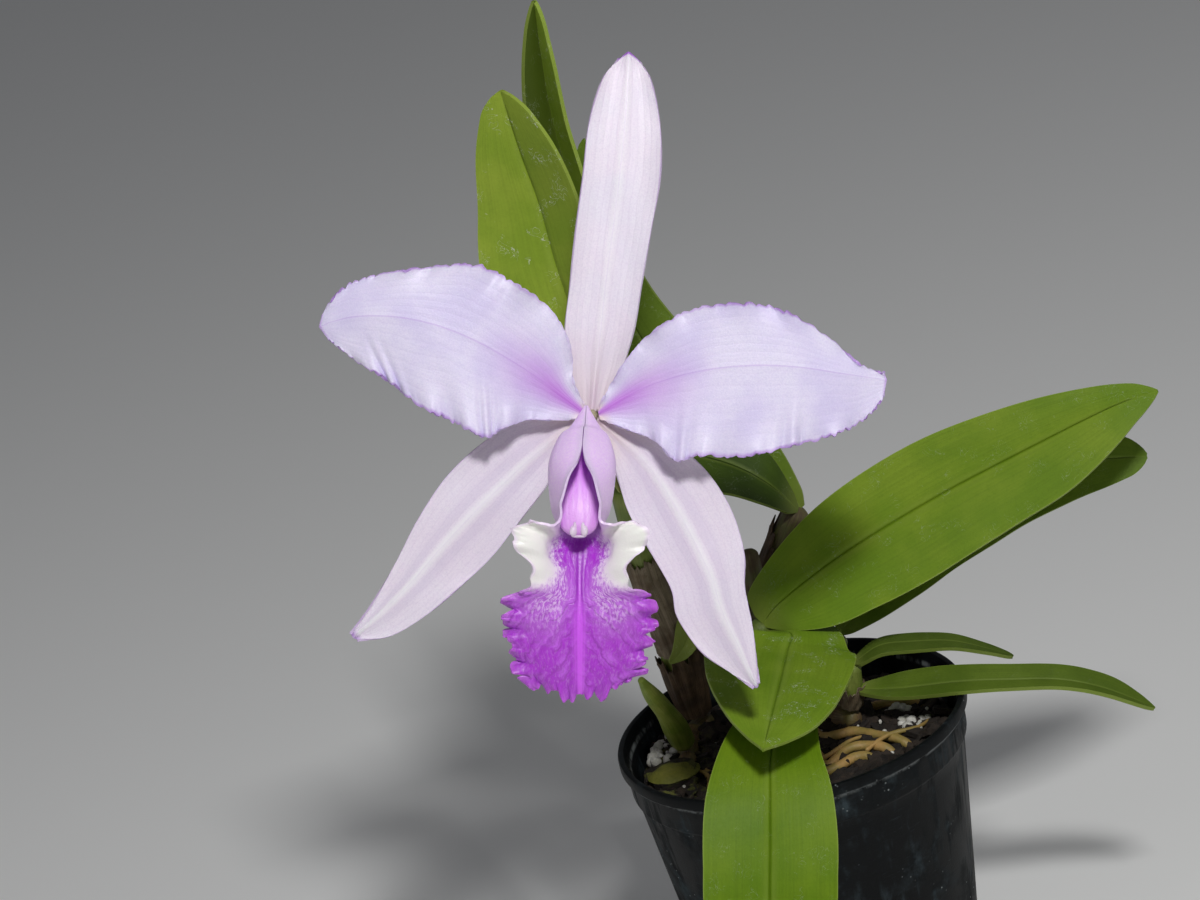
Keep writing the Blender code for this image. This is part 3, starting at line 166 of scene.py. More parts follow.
# Leaves: midrib from foot to tip, half widths at even steps on both sides, the
# way the upper side faces at the foot and the tip, how much each half is folded
# up, and how much the edges roll down
LEAVES = dict(
    leaf_up_broad=dict(
        midrib=[(-24.0, 7.4, 134.2), (-24.6, 8.8, 155.0), (-25.3, 10.0, 172.7), (-26.4, 9.0, 188.1),
                (-26.8, 8.0, 201.7), (-28.1, 6.0, 215.1), (-28.9, 4.0, 229.1)],
        left=[1.6, 7.6, 12.6, 16.0, 16.8, 15.2, 12.4, 8.8, 3.6],
        right=[1.4, 3.9, 5.8, 7.3, 8.7, 9.7, 10.8, 9.6, 3.8],
        facing=[(-0.3, -0.95, 0.0), (-0.5, -0.86, 0.0)], fold=(0.34, 0.34), curl=0.06),
    leaf_up_folded=dict(
        midrib=[(-22.6, 8.6, 134.2), (-21.2, 14.0, 146.3), (-19.3, 18.0, 167.4), (-18.9, 20.0, 185.7),
                (-19.1, 20.0, 202.1), (-19.6, 19.0, 216.2), (-18.7, 17.0, 231.7), (-17.5, 15.0, 243.7)],
        left=[1.2, 4.0, 6.0, 7.2, 7.6, 7.6, 7.0, 5.3, 1.6],
        right=[1.2, 2.5, 2.5, 2.5, 2.4, 2.2, 2.0, 1.7, 0.8],
        facing=[(0.15, -0.98, 0.1), (0.15, -0.98, 0.1)], fold=(0.9, 2.6), curl=0.1),
    leaf_back_up=dict(
        midrib=[(14.4, 20.9, 114.2), (7.6, 25.0, 125.7), (-2.8, 29.0, 140.0), (-12.0, 31.0, 160.1),
                (-15.5, 30.0, 183.1), (-13.9, 28.0, 208.2)],
        left=[1.6, 4.9, 6.6, 7.0, 7.0, 6.6, 5.2, 3.6, 1.8],
        right=[1.8, 5.6, 8.2, 9.3, 9.3, 7.4, 5.4, 3.2, 0.6],
        facing=[(-0.2, -0.95, 0.2), (-0.2, -0.95, 0.2)], fold=(0.14, 0.14), curl=0.06),
    leaf_back_left=dict(
        midrib=[(12.9, 19.3, 114.4), (7.4, 16.5, 123.6), (0.6, 18.0, 129.4), (-9.6, 19.0, 135.0),
                (-26.2, 21.5, 142.6), (-46.4, 23.0, 154.8), (-60.2, 23.0, 164.6)],
        left=[1.8, 6.0, 9.0, 10.1, 9.6, 8.8, 7.8, 6.0, 0.6],
        right=[1.8, 6.0, 9.0, 10.0, 9.8, 9.2, 8.0, 6.0, 0.6],
        facing=[(0.2, -0.6, 0.8), (0.2, -0.6, 0.8)], fold=(0.14, 0.14), curl=0.06),
    leaf_right_upper=dict(
        midrib=[(-0.8, 3.0, 96.4), (4.8, 1.0, 101.7), (20.0, 0.0, 109.4), (41.2, -2.0, 117.5),
                (59.4, -4.0, 123.3), (82.8, -7.0, 130.3), (93.7, -9.0, 132.2)],
        left=[5.8, 9.3, 11.8, 12.8, 12.7, 11.4, 9.2, 5.8, 1.5],
        right=[2.9, 11.7, 14.5, 15.4, 14.9, 13.9, 12.5, 8.3, 1.7],
        facing=[(-0.3, -0.84, 0.46), (-0.3, -0.84, 0.46)], fold=(0.16, 0.16), curl=0.06),
    leaf_right_lower=dict(
        midrib=[(15.3, 9.4, 86.4), (30.5, 9.8, 98.1), (46.4, 9.6, 106.5), (61.1, 8.6, 111.6),
                (75.2, 7.4, 113.9), (91.1, 6.0, 112.0)],
        left=[1.8, 6.0, 9.4, 11.4, 11.6, 10.8, 9.4, 6.8, 2.6],
        right=[1.2, 5.7, 8.2, 8.9, 9.4, 8.9, 8.4, 6.6, 2.8],
        facing=[(-0.3, -0.84, 0.46), (-0.3, -0.84, 0.46)], fold=(0.14, 0.14), curl=0.08),
    leaf_front_short=dict(
        midrib=[(-0.4, 3.0, 94.2), (4.2, -4.4, 95.4), (2.4, -12.0, 95.3), (-1.2, -30.0, 96.9),
                (-5.0, -45.0, 96.8), (-9.2, -58.0, 94.8)],
        left=[2.2, 9.6, 14.6, 15.2, 14.8, 13.8, 12.2, 8.6, 0.9],
        right=[2.0, 9.0, 15.2, 17.4, 16.8, 15.2, 12.4, 8.0, 0.7],
        facing=[(0.25, -0.2, 0.95), (0.15, -0.35, 0.92)], fold=(0.12, 0.12), curl=0.10),
    leaf_front_hanging=dict(
        midrib=[(14.7, 6.9, 88.1), (8.5, -3.5, 89.4), (2.4, -14.0, 88.8), (-1.7, -26.0, 88.8),
                (-5.0, -37.0, 88.6), (-7.8, -46.0, 86.5), (-10.1, -54.0, 81.3), (-12.7, -60.0, 73.0),
                (-15.3, -64.0, 63.8), (-17.9, -66.0, 51.1), (-19.4, -66.0, 44.0)],
        left=[1.8, 3.6, 5.8, 7.8, 10.2, 13.4, 14.2, 12.6, 1.6],
        right=[1.8, 3.6, 5.8, 7.8, 10.4, 13.6, 14.0, 12.4, 1.6],
        facing=[(0.0, -0.3, 0.95), (0.0, -0.95, 0.3)], fold=(0.12, 0.12), curl=0.06),
    leaf_young_upper=dict(
        midrib=[(17.0, 1.8, 81.9), (23.2, 1.0, 84.8), (30.0, 0.0, 84.4), (38.7, -1.5, 82.9),
                (45.9, -2.5, 79.6), (51.6, -3.0, 76.3)],
        left=[1.3, 2.2, 2.5, 2.7, 2.5, 2.3, 1.9, 1.4, 0.6],
        right=[1.5, 2.8, 3.3, 3.2, 3.0, 2.5, 1.9, 1.2, 0.5],
        facing=[(0.15, -0.1, 0.98), (0.15, -0.1, 0.98)], fold=(0.3, -0.1), curl=0.05),
    leaf_young_lower=dict(
        midrib=[(16.2, 2.2, 75.2), (25.1, -4.0, 75.7), (38.2, -9.0, 76.0), (48.9, -12.0, 74.9),
                (59.5, -14.0, 72.9), (68.8, -15.0, 68.6), (78.7, -15.0, 61.2)],
        left=[1.6, 4.4, 5.0, 4.6, 4.3, 4.2, 4.2, 3.6, 0.8],
        right=[1.2, 3.4, 4.1, 4.0, 3.4, 3.1, 2.6, 2.0, 0.7],
        facing=[(0.1, -0.25, 0.96), (0.1, -0.25, 0.96)], fold=(0.3, 0.15), curl=0.05),
    flower_sheath=dict(
        midrib=[(-23.4, 6.0, 133.8), (-23.8, 4.2, 143.0), (-24.6, 0.4, 152.8), (-25.4, -5.0, 161.0)],
        left=[1.6, 2.4, 2.8, 2.9, 2.8, 2.4, 1.9, 1.3, 0.5],
        right=[1.6, 2.4, 2.8, 2.9, 2.8, 2.4, 1.9, 1.3, 0.5],
        facing=[(0.0, -0.9, 0.3), (0.0, -0.6, 0.8)], fold=(0.6, 0.6), curl=0.0),
    small_bract=dict(
        midrib=[(-18.0, 11.6, 98.8), (-18.2, 9.6, 95.0), (-20.2, 8.4, 92.4), (-23.3, 7.4, 90.6)],
        left=[1.2, 2.0, 2.6, 2.8, 2.7, 2.4, 1.9, 1.2, 0.5],
        right=[1.2, 2.0, 2.6, 2.8, 2.7, 2.4, 1.9, 1.2, 0.5],
        facing=[(0.1, -0.95, 0.3), (0.1, -0.95, 0.3)], fold=(0.35, 0.35), curl=0.1),
)
BRACTS = ("flower_sheath", "small_bract")
BRACT_THICKNESS = 0.5
# Shares of a leaf's length over which its tip and its foot are rounded off
LEAF_TIP_ROUND = 0.05
LEAF_FOOT_ROUND = 0.035

# Flower: place and attitude of its own frame (right, up, out)
FLOWER_CENTRE = (-27.0, -45.0, 171.0)
FLOWER_TIPPED_UP = 19.8
FLOWER_LEAN = 14.0
FLOWER_SEAT = [(0.0, 0.0, -8.0), (0.0, -0.1, -2.8), (-0.1, -0.3, -0.6), (-0.4, -0.7, 2.6)]
FLOWER_SEAT_RADII = [2.2, 2.4, 1.7, 1.0]

# Sepals and petals: both edges and the midrib as (right, up) pairs from the
# foot to the tip, how far out each station stands, and the bends and ruffles
DORSAL_SEPAL = dict(
    left=[(-2.6, 0.8), (-4.8, 9.2), (-5.4, 17.4), (-4.4, 26.6), (-3.2, 38.0), (-1.7, 49.4), (-0.5, 59.9),
          (2.3, 69.0), (5.6, 73.3)],
    middle=[(0.1, 0.6), (1.0, 9.6), (2.0, 17.8), (3.0, 27.2), (4.5, 38.4), (5.9, 50.0), (7.0, 60.9),
            (7.6, 70.2), (7.7, 74.7)],
    right=[(2.8, 0.8), (6.2, 8.8), (8.8, 17.4), (10.4, 26.8), (12.3, 37.6), (14.2, 48.8), (14.2, 59.3),
           (12.4, 68.5), (9.9, 73.0)],
    depth=[-1.5, -3.0, -3.6, -4.0, -4.4, -4.8, -5.4, -6.4, -7.6],
    cup=[0.3, 0.6, 0.8, 0.9, 1.0, 0.9, 0.7, 0.4, 0.0], keel=-1.6, wave=0.25, wave_count=3.0, phase=0.4)
LEFT_SEPAL = dict(
    left=[(-1.6, 0.2), (-8.6, -0.2), (-16.4, -1.9), (-23.4, -6.6), (-30.0, -12.9), (-35.8, -21.6),
          (-40.2, -30.2), (-45.4, -39.1), (-49.8, -45.2)],
    middle=[(-1.2, -0.9), (-6.6, -4.3), (-12.7, -9.2), (-18.9, -15.0), (-25.5, -21.6), (-31.7, -28.2),
            (-37.5, -35.0), (-43.8, -41.2), (-49.2, -45.9)],
    right=[(-0.8, -2.0), (-4.9, -7.6), (-9.0, -14.4), (-14.2, -21.2), (-20.4, -29.1), (-27.6, -36.0),
           (-33.9, -41.2), (-41.3, -45.6), (-48.3, -46.6)],
    depth=[-1.6, -3.4, -4.8, -6.0, -6.8, -7.4, -8.0, -8.8, -9.8],
    cup=[0.2, 0.3, 0.2, -0.3, -0.8, -1.0, -0.9, -0.6, 0.0], keel=-2.4, wave=0.3, wave_count=2.5, phase=2.0)
RIGHT_SEPAL = dict(
    left=[(0.8, -2.0), (3.7, -7.6), (5.5, -13.3), (7.6, -19.9), (11.5, -27.1), (16.3, -35.6), (17.7, -41.6),
          (22.5, -48.7), (28.3, -52.9), (33.5, -56.4)],
    middle=[(1.2, -0.9), (6.1, -5.1), (11.5, -10.4), (16.4, -17.4), (21.0, -25.7), (24.7, -33.6),
            (26.8, -40.2), (30.2, -47.5), (32.7, -53.1), (34.2, -56.2)],
    right=[(1.6, 0.2), (9.8, -1.9), (17.6, -6.3), (23.8, -11.7), (28.6, -19.1), (31.5, -28.2), (31.7, -35.7),
           (33.4, -44.4), (34.3, -52.3), (34.6, -55.4)],
    depth=[-1.6, -3.4, -4.6, -5.6, -6.2, -6.4, -6.8, -7.6, -8.4, -9.2],
    cup=[0.2, 0.3, 0.2, -0.3, -0.8, -1.1, -1.1, -0.9, -0.6, 0.0], keel=-2.4, wave=0.35, wave_count=3.0,
    phase=0.9)
LEFT_PETAL = dict(
    left=[(-0.9, 1.1), (-3.6, 7.0), (-4.3, 14.3), (-8.2, 21.4), (-15.7, 26.8), (-23.3, 30.4), (-32.7, 30.0),
          (-42.9, 28.6), (-50.5, 25.9), (-55.0, 20.4)],
    middle=[(-1.3, 0.3), (-6.5, 4.3), (-11.0, 7.6), (-16.7, 11.2), (-23.3, 14.9), (-31.0, 18.0),
            (-39.2, 19.8), (-47.4, 20.0), (-52.5, 19.0), (-55.4, 17.9)],
    right=[(-1.5, -0.9), (-8.2, -1.2), (-13.3, -1.2), (-18.2, -3.1), (-21.6, -4.7), (-27.3, -1.8),
           (-34.3, 1.4), (-41.2, 6.7), (-48.2, 11.2), (-53.5, 15.3)],
    depth=[-0.5, -0.2, 0.6, 1.6, 2.2, 2.4, 2.0, 0.8, -0.4, -1.4],
    cup=[0.1, 0.3, 0.6, 0.7, 0.4, 0.0, -0.4, -0.6, -0.4, 0.0], keel=-0.5, wave=0.9, wave_count=6.0, phase=0.6)
RIGHT_PETAL = dict(
    left=[(1.2, 1.1), (3.9, 5.9), (7.0, 11.0), (11.8, 16.3), (20.0, 21.2), (30.2, 22.6), (39.4, 21.0),
          (48.2, 15.7), (55.1, 10.0), (59.8, 8.4)],
    middle=[(1.5, 0.3), (6.7, 3.5), (11.8, 5.9), (18.4, 8.0), (25.7, 9.4), (33.9, 10.0), (42.4, 9.6),
            (50.6, 8.4), (56.3, 7.6), (60.2, 7.1)],
    right=[(1.7, -0.9), (7.8, -3.3), (12.9, -5.3), (17.1, -9.4), (22.0, -8.4), (31.2, -8.6), (41.4, -6.3),
           (50.2, -3.9), (56.3, -0.4), (59.6, 3.5)],
    depth=[-0.5, -0.2, 0.6, 1.6, 2.2, 2.4, 2.2, 1.4, 0.6, 0.6],
    cup=[0.1, 0.3, 0.6, 0.7, 0.4, 0.0, -0.4, -0.6, -0.2, 0.2], keel=-0.5, wave=0.9, wave_count=6.0, phase=2.2)

# Puckers of the petals: (side, place along, spread, depth)
LEFT_CREASES = [(1.0, 0.43, 0.04, 0.8), (1.0, 0.76, 0.04, 1.3), (-1.0, 0.47, 0.05, 0.6)]
RIGHT_CREASES = [(1.0, 0.36, 0.05, 0.6), (1.0, 0.66, 0.035, 1.1), (-1.0, 0.62, 0.06, 0.3)]
TEETH = 36.0

# Lip: per station the floor's (up, out), half the girth, and the slopes of the
# wall in degrees at five spots from the floor's middle to the edge, and how far
# the edge is swept up
LIP_STATIONS = [
    ((1.6, 2.2), 0.5, (0, 45, 90, 135, 172), 0.0),
    ((-4.2, 2.9), 10.8, (0, 45, 90, 135, 173), 0.0),
    ((-8.3, 4.5), 17.0, (0, 45, 90, 135, 174), 0.0),
    ((-12.0, 6.1), 20.2, (0, 45, 90, 135, 173), 0.0),
    ((-15.0, 7.4), 20.6, (0, 45, 90, 129, 158), 0.0),
    ((-18.2, 8.7), 19.8, (0, 46, 91, 115, 126), 0.0),
    ((-21.4, 9.8), 17.8, (0, 47, 92, 103, 104), -1.0),
    ((-24.0, 10.8), 14.2, (0, 50, 89, 96, 80), -1.3),
    ((-25.8, 11.3), 14.8, (0, 42, 84, 56, 0), 1.9),
    ((-27.6, 11.8), 17.4, (0, 34, 78, 30, -15), 2.7),
    ((-29.6, 12.3), 16.4, (0, 32, 70, 30, -10), 1.0),
    ((-31.4, 12.8), 11.8, (0, 28, 52, 44, 30), -0.4),
    ((-33.6, 13.3), 11.4, (0, 24, 40, 38, 30), -0.2),
    ((-36.0, 13.8), 11.0, (0, 20, 32, 30, 20), 0.6),
    ((-38.0, 14.1), 14.6, (0, 14, 18, 8, -4), 1.6),
    ((-40.6, 14.3), 15.6, (0, 10, 10, -4, -14), 1.2),
    ((-43.6, 14.3), 15.6, (0, 6, 4, -8, -20), 0.8),
    ((-46.8, 14.1), 14.8, (0, 4, 2, -10, -22), 0.6),
    ((-50.0, 13.6), 13.4, (0, 4, 0, -10, -22), 0.6),
    ((-53.2, 12.9), 13.0, (0, 2, -2, -8, -18), 1.4),
    ((-57.2, 11.6), 10.6, (0, 0, -2, -4, -8), 3.6),
]
LIP_SIDEWAYS = [-1.0, -1.7, -2.0, -2.2, -2.3, -2.3, -2.3, -2.3]
# How far a row of the back half reaches, in even rows; the frilled front half
# gets finer rows
LIP_ROWS_BACK = 1.24
FRONT_LOBE_START = 0.66
EAR_PLACE = 0.44
WALL_STEPS = 24
FRILL = 1.1
SCALLOPS = 18.0
FRILL_COUNT = 11.0
COLUMN_LINE = [(-0.6, -1.3, 2.7), (-0.9, -4.0, 6.4), (-1.5, -8.0, 10.2), (-2.1, -13.0, 13.2),
               (-2.4, -18.0, 15.2), (-2.4, -21.2, 16.2), (-2.4, -24.5, 17.0)]
COLUMN_WIDTHS = [0.9, 1.7, 2.4, 3.3, 4.1, 4.3, 2.9]
COLUMN_DEPTHS = [0.8, 1.4, 1.8, 2.1, 2.3, 2.2, 1.7]
COLUMN_END_ROUND = 0.07

# The white teeth: centre and half sizes of each rounded body
CAP_PARTS = [
    ((-3.5, -23.3, 18.0), (0.75, 1.15, 0.75)),
    ((-3.2, -22.6, 18.1), (0.4, 1.1, 0.5)),
    ((-1.3, -23.3, 18.0), (0.75, 1.15, 0.75)),
    ((-1.6, -22.6, 18.1), (0.4, 1.1, 0.5)),
    ((-2.4, -24.4, 17.6), (1.5, 0.3, 0.8)),
]

# Finish: rows and columns of each piece's grid, sides of round parts, points on
# a line and the sharpest angle that is shaded smooth, in degrees
LEAF_GRID = (110, 36)
SEPAL_GRID = (160, 56)
PETAL_GRID = (300, 84)
LIP_GRID = (330, 128)
STEM_GRID = (110, 48)
STALK_GRID = (130, 36)
RUN_GRID = (90, 32)
ROOT_GRID = (90, 20)
THIN_ROOT_GRID = (60, 12)
HUSK_GRID = (26, 72)
COLUMN_GRID = (90, 64)
DISC_GRID = (40, 40)
POT_SIDES = 192
DRAIN_SIDES = 48
LINE_POINTS = 200
FINE_POINTS = 600
SOFT_ANGLE = 60.0

# Stage: name, place, width and power of each light, the sky and the camera
LIGHTS = [
    ("key", (110.0, -630.0, 780.0), 110.0, 5.35),
    ("fill_left", (-900.0, -500.0, 500.0), 600.0, 0.75),
    ("fill_right", (800.0, -300.0, 700.0), 600.0, 0.6),
]
LIGHT_AIM = (-10.0, -20.0, 140.0)
SKY_COLOUR = (0.92, 0.94, 1.0)
SKY_STRENGTH = 0.12
CAMERA_SPOT = (-27.0, -718.6, 405.6)
CAMERA_LENS = 105.0
CAMERA_SENSOR = 36.0
FLOOR_WIDTH = 12.0


def ink(red, green, blue):
    """A screen colour from 0 to 255 a channel, as the shader's own numbers."""
    return tuple(((value / 255.0 + 0.055) / 1.055) ** 2.4 if value > 10 else value / 255.0 / 12.92
                 for value in (red, green, blue))


# Looks

BARK_LIGHT = ink(50, 39, 29)
LEAF_MARGIN = ink(148, 166, 76)
LEAF_FOOT = ink(150, 160, 80)
LEAF_SCALE = ink(214, 220, 200)
POT_HAZE = ink(62, 73, 78)
POT_CRUST = ink(176, 182, 182)
MOSS_GREEN = ink(104, 108, 34)
WHITE = (1.0, 1.0, 1.0)
# Face, second tint, share of scale marks and painted shade over one half of each leaf
LEAF_LOOKS = {
    "leaf_up_broad": (ink(132, 158, 46), ink(152, 172, 58), 0.8, 0.16),
    "leaf_up_folded": (ink(118, 144, 42), ink(134, 156, 54), 0.3, -0.97),
    "leaf_back_up": (ink(84, 108, 28), ink(102, 126, 38), 0.2, 0.0),
    # leaf_back_left: face and second tint darkened as painted shade, the leaf lying in shadow behind the
    # flower
    "leaf_back_left": (ink(46, 64, 14), ink(62, 82, 20), 0.1, 0.0),
    "leaf_right_upper": (None, None, 0.15, 0.0),
    # leaf_right_lower: face and second tint darkened as painted shade, the leaf lying in the upper right
    # leaf's shadow
    "leaf_right_lower": (ink(88, 114, 24), ink(106, 130, 34), 0.1, 0.0),
    "leaf_front_short": (ink(100, 130, 26), ink(120, 146, 38), 0.55, 0.0),
    "leaf_front_hanging": (ink(90, 122, 10), ink(108, 136, 20), 0.12, 0.0),
    "leaf_young_upper": (ink(62, 80, 20), ink(80, 98, 30), 0.05, 0.0),
    "leaf_young_lower": (ink(74, 95, 22), ink(92, 113, 32), 0.05, 0.0),
    "flower_sheath": (ink(128, 132, 74), ink(150, 148, 96), 0.2, 0.0),
    "small_bract": (ink(120, 140, 56), ink(140, 154, 72), 0.2, 0.0),
}
SEPAL_SHADE = ink(200, 184, 214)
# Looks of petals and sepals; ridge sets the strength of a painted highlight on the midrib and painted shade
# beside it
PETAL_LOOK = dict(
    veins=14.0, vein_strength=0.07, fibre=0.22, second=ink(218, 208, 242), shade=ink(192, 182, 226),
    vein=ink(186, 160, 216), base=ink(236, 214, 200), base_reach=0.06, base_strength=0.7, flush_width=0.8,
    flush_reach=0.5, flush_strength=1.0, rib=0.3, ridge=0.0, rim_start=0.94, rim_strength=0.8,
    tip_start=0.975, tip_strength=0.6, relief=0.7)
# The upper sepal's darker base tint, spread over a long reach, is painted shade at its foot
UPPER_SEPAL_LOOK = dict(
    veins=11.0, vein_strength=0.2, fibre=0.3, second=ink(234, 226, 240), shade=SEPAL_SHADE,
    vein=ink(196, 176, 206), base=ink(204, 184, 190), base_reach=0.3, base_strength=0.8, flush_width=0.3,
    flush_reach=0.1, flush_strength=0.1, rib=0.1, ridge=0.2, rim_start=0.965, rim_strength=0.4,
    tip_start=0.975, tip_strength=1.3, relief=0.6)
LOWER_SEPAL_LOOK = dict(
    veins=11.0, vein_strength=0.18, fibre=0.3, second=ink(238, 228, 242), shade=SEPAL_SHADE,
    vein=ink(200, 176, 206), base=ink(232, 212, 196), base_reach=0.26, base_strength=0.6, flush_width=0.3,
    flush_reach=0.1, flush_strength=0.1, rib=0.06, ridge=0.45, rim_start=0.96, rim_strength=0.4,
    tip_start=0.97, tip_strength=0.7, relief=0.6)
LIP_TINTS = dict(
    side_light=ink(250, 228, 255), side_edge=ink(214, 202, 226), white=ink(252, 244, 255),
    cream=ink(246, 248, 226), pale_magenta=ink(208, 116, 240), deep=ink(124, 16, 150),
    pink=ink(222, 100, 255), rim=ink(196, 96, 218), violet_pink=ink(222, 160, 234))
SOFT_TISSUE = {"Subsurface Weight": 0.12, "Subsurface Radius": (1.0, 0.6, 0.9), "Subsurface Scale": 0.0015}


# Smooth lines and the frame of the flower

def through(points, places):
    """Read a smooth line through evenly spaced points at places from 0 to 1."""
    knots = np.asarray(points, float)
    if knots.ndim == 1:
        knots = knots[:, None]
    last = len(knots) - 1
    knots = np.vstack([2 * knots[0] - knots[1], knots, 2 * knots[-1] - knots[-2]])
    reach = np.clip(places, 0.0, 1.0) * last
    start = np.minimum(reach.astype(int), last - 1)
    part = (reach - start)[:, None]
    before, here, there, after = (knots[start + step] for step in range(4))
    bend = 2 * before - 5 * here + 4 * there - after
    turn = 3 * (here - there) + after - before
    return here + 0.5 * part * (there - before + part * (bend + part * turn))


def unit(vectors):
    """Vectors scaled to a length of one."""
    return vectors / np.linalg.norm(vectors, axis=-1, keepdims=True)


def even(points):
    """Points spaced evenly along the smooth line through the given ones."""
    fine = through(points, np.linspace(0.0, 1.0, FINE_POINTS))
    run = np.concatenate([[0.0], np.cumsum(np.linalg.norm(np.diff(fine, axis=0), axis=1))])
    marks = np.linspace(0.0, run[-1], LINE_POINTS)
    return np.stack([np.interp(marks, run, fine[:, axis]) for axis in range(3)], axis=1)


def length_of(points):
    """Length of the smooth line through the points."""
    return float(np.sum(np.linalg.norm(np.diff(even(points), axis=0), axis=1)))


def direction(line, along):
    """The way a line runs at places along it."""
    before = through(line, np.maximum(along - 0.01, 0.0))
    return unit(through(line, np.minimum(along + 0.01, 1.0)) - before)


def ramp(places, start, length):
    """A straight rise from 0 at start to 1 a length further on."""
    return np.clip((places - start) / length, 0.0, 1.0)


def hump(places, middle, width):
    """A round hill, 1 at its middle and fading out over its width."""
    return np.exp(-((places - middle) / width) ** 2)


def rounded(gap, least=0.0):
    """A quarter circle, 0 at no gap and 1 at a gap of one, its square never below least."""
    return np.sqrt(np.clip(1.0 - (1.0 - np.clip(gap, 0.0, 1.0)) ** 2, least, 1.0))


def flower_axes():
    """The flower's own right, up and out directions."""
    lean, tip = math.radians(FLOWER_LEAN), math.radians(FLOWER_TIPPED_UP)
    right = (math.cos(lean), -math.sin(lean) * math.sin(tip), -math.sin(lean) * math.cos(tip))
    upward = (math.sin(lean), math.cos(lean) * math.sin(tip), math.cos(lean) * math.cos(tip))
    outward = (0.0, -math.cos(tip), math.sin(tip))
    return np.array([right, upward, outward])


def flower_frame(points):
    """Turn points from the flower's own frame (right, up, out) into place."""
    return np.asarray(points) @ flower_axes() + np.array(FLOWER_CENTRE)


def jitter(places, counts, phase):
    """An uneven wave between about -1 and 1, from waves that never line up."""
    total = np.zeros(len(places))
    for number, count in enumerate(counts):
        total = total + np.sin(2.0 * math.pi * count * places + phase * (number + 1.3)) / (number + 1.0)
    return total / sum(1.0 / (number + 1.0) for number in range(len(counts)))


# Laying out pieces

def metres(spot):
    """A place in millimetres as one in metres."""
    return [value * MM for value in spot]


def clear():
    """Leave nothing selected, so that an operator acts on its own piece."""
    bpy.ops.object.select_all(action="DESELECT")


def pick(piece):
    """Select one piece and make it the active one."""
    clear()
    piece.select_set(True)
    bpy.context.view_layer.objects.active = piece


def apply_all(piece):
    """Apply every modifier of a piece."""
    pick(piece)
    for modifier in list(piece.modifiers):
        bpy.ops.object.modifier_apply(modifier=modifier.name)


def smooth(piece, angle):
    """Shade a piece smooth, with edges sharper than the angle left crisp."""
    pick(piece)
    bpy.ops.object.shade_smooth_by_angle(angle=math.radians(angle))


def edit_all():
    """Start editing the active piece with all of its mesh selected."""
    bpy.ops.object.mode_set(mode="EDIT")
    bpy.ops.mesh.select_all(action="SELECT")


def grid(name, density):
    """A flat grid with a map, the start of every blade and stem."""
    rows, columns = density
    clear()
    bpy.ops.mesh.primitive_grid_add(x_subdivisions=columns, y_subdivisions=rows, size=2.0, calc_uvs=True)
    piece = bpy.context.object
    piece.name = name
    piece.data.name = name
    return piece


def set_points(piece, laid):
    """Move the points of a piece to places given in millimetres."""
    piece.data.vertices.foreach_set("co", (laid * MM).ravel())
    piece.data.update()


def lay(piece, place):
    """Move a grid's points to place(along, across), given in millimetres."""
    flat = np.empty(len(piece.data.vertices) * 3)
    piece.data.vertices.foreach_get("co", flat)
    spots = flat.reshape(-1, 3)
    set_points(piece, place((spots[:, 1] + 1.0) / 2.0, spots[:, 0]))


def thicken(piece, thickness):
    """Give a sheet its thickness, half to either side."""
    skin = piece.modifiers.new("skin", "SOLIDIFY")
    skin.thickness = thickness * MM
    skin.offset = 0.0
    apply_all(piece)


def close_seams(piece):
    """Merge points that lie on one another and turn the faces outward."""
    pick(piece)
    edit_all()
    bpy.ops.mesh.remove_doubles(threshold=0.002 * MM)
    bpy.ops.mesh.normals_make_consistent(inside=False)
    bpy.ops.object.mode_set(mode="OBJECT")


def blade(name, place, density, thickness):
    """A thin leaf-like piece laid out by place(along, across)."""
    piece = grid(name, density)
    lay(piece, place)
    thicken(piece, thickness)
    smooth(piece, SOFT_ANGLE)
    return piece


def rolled_place(points, radii, relief, round_ends=True, span=(0.0, 1.0), ragged=None, flare=0.0):
    """Roll a grid round a span of a smooth line, its ends rounded shut or left open."""
    line = even(points)
    whole = length_of(points)
    run = line[-1] - line[0]
    guide = np.eye(3)[int(np.argmin(np.abs(run)))]

    def place(along, across):
        angle = math.pi * across
        reach = span[0] + (span[1] - span[0]) * along * (1.0 if ragged is None else ragged(angle))
        centre = through(line, reach)
        ahead = direction(line, reach)
        side = unit(np.cross(ahead, guide))
        over = np.cross(side, ahead)
        size = through(radii, reach)[:, 0] + flare * along ** 3
        size = size * (1.0 + relief(reach, angle))
        if round_ends:
            cap = 0.8 * size / whole
            size = size * rounded(np.minimum(along, 1.0 - along) / cap)
        spoke = side * np.cos(angle)[:, None] + over * np.sin(angle)[:, None]
        return centre + spoke * size[:, None]

    return place


def limb(name, points, radii, density, relief):
    """A stem or root: a grid rolled round a line, closed at both ends."""
    piece = grid(name, density)
    lay(piece, rolled_place(points, radii, relief))
    close_seams(piece)
    smooth(piece, SOFT_ANGLE)
    return piece


def husk(name, points, radii, span, seed, tear, flare):
    """A dry papery sheath round part of a stem, torn along its upper edge."""
    def ragged(angle):
        torn = np.abs(jitter(angle / (2.0 * math.pi), (2, 5, 11, 23), seed))
        return 1.0 - tear * torn - 0.3 * tear * (1.0 + np.sin(angle + seed))

    def crumple(along, angle):
        wide_folds = 0.035 * np.sin(9.0 * angle + 14.0 * along + seed)
        return wide_folds + 0.03 * np.sin(17.0 * angle - 9.0 * along)

    wide = [radius + HUSK_CLEARANCE for radius in radii]
    piece = grid(name, HUSK_GRID)
    lay(piece, rolled_place(points, wide, crumple, False, span, ragged, flare))
    close_seams(piece)
    thicken(piece, HUSK_THICKNESS)
    smooth(piece, SOFT_ANGLE)
    return piece


def joined(name, parts):
    """Several finished parts as one piece."""
    clear()
    for part in parts:
        part.select_set(True)
    bpy.context.view_layer.objects.active = parts[0]
    if len(parts) > 1:
        bpy.ops.object.join()
    piece = bpy.context.object
    piece.name = name
    piece.data.name = name
    return piece


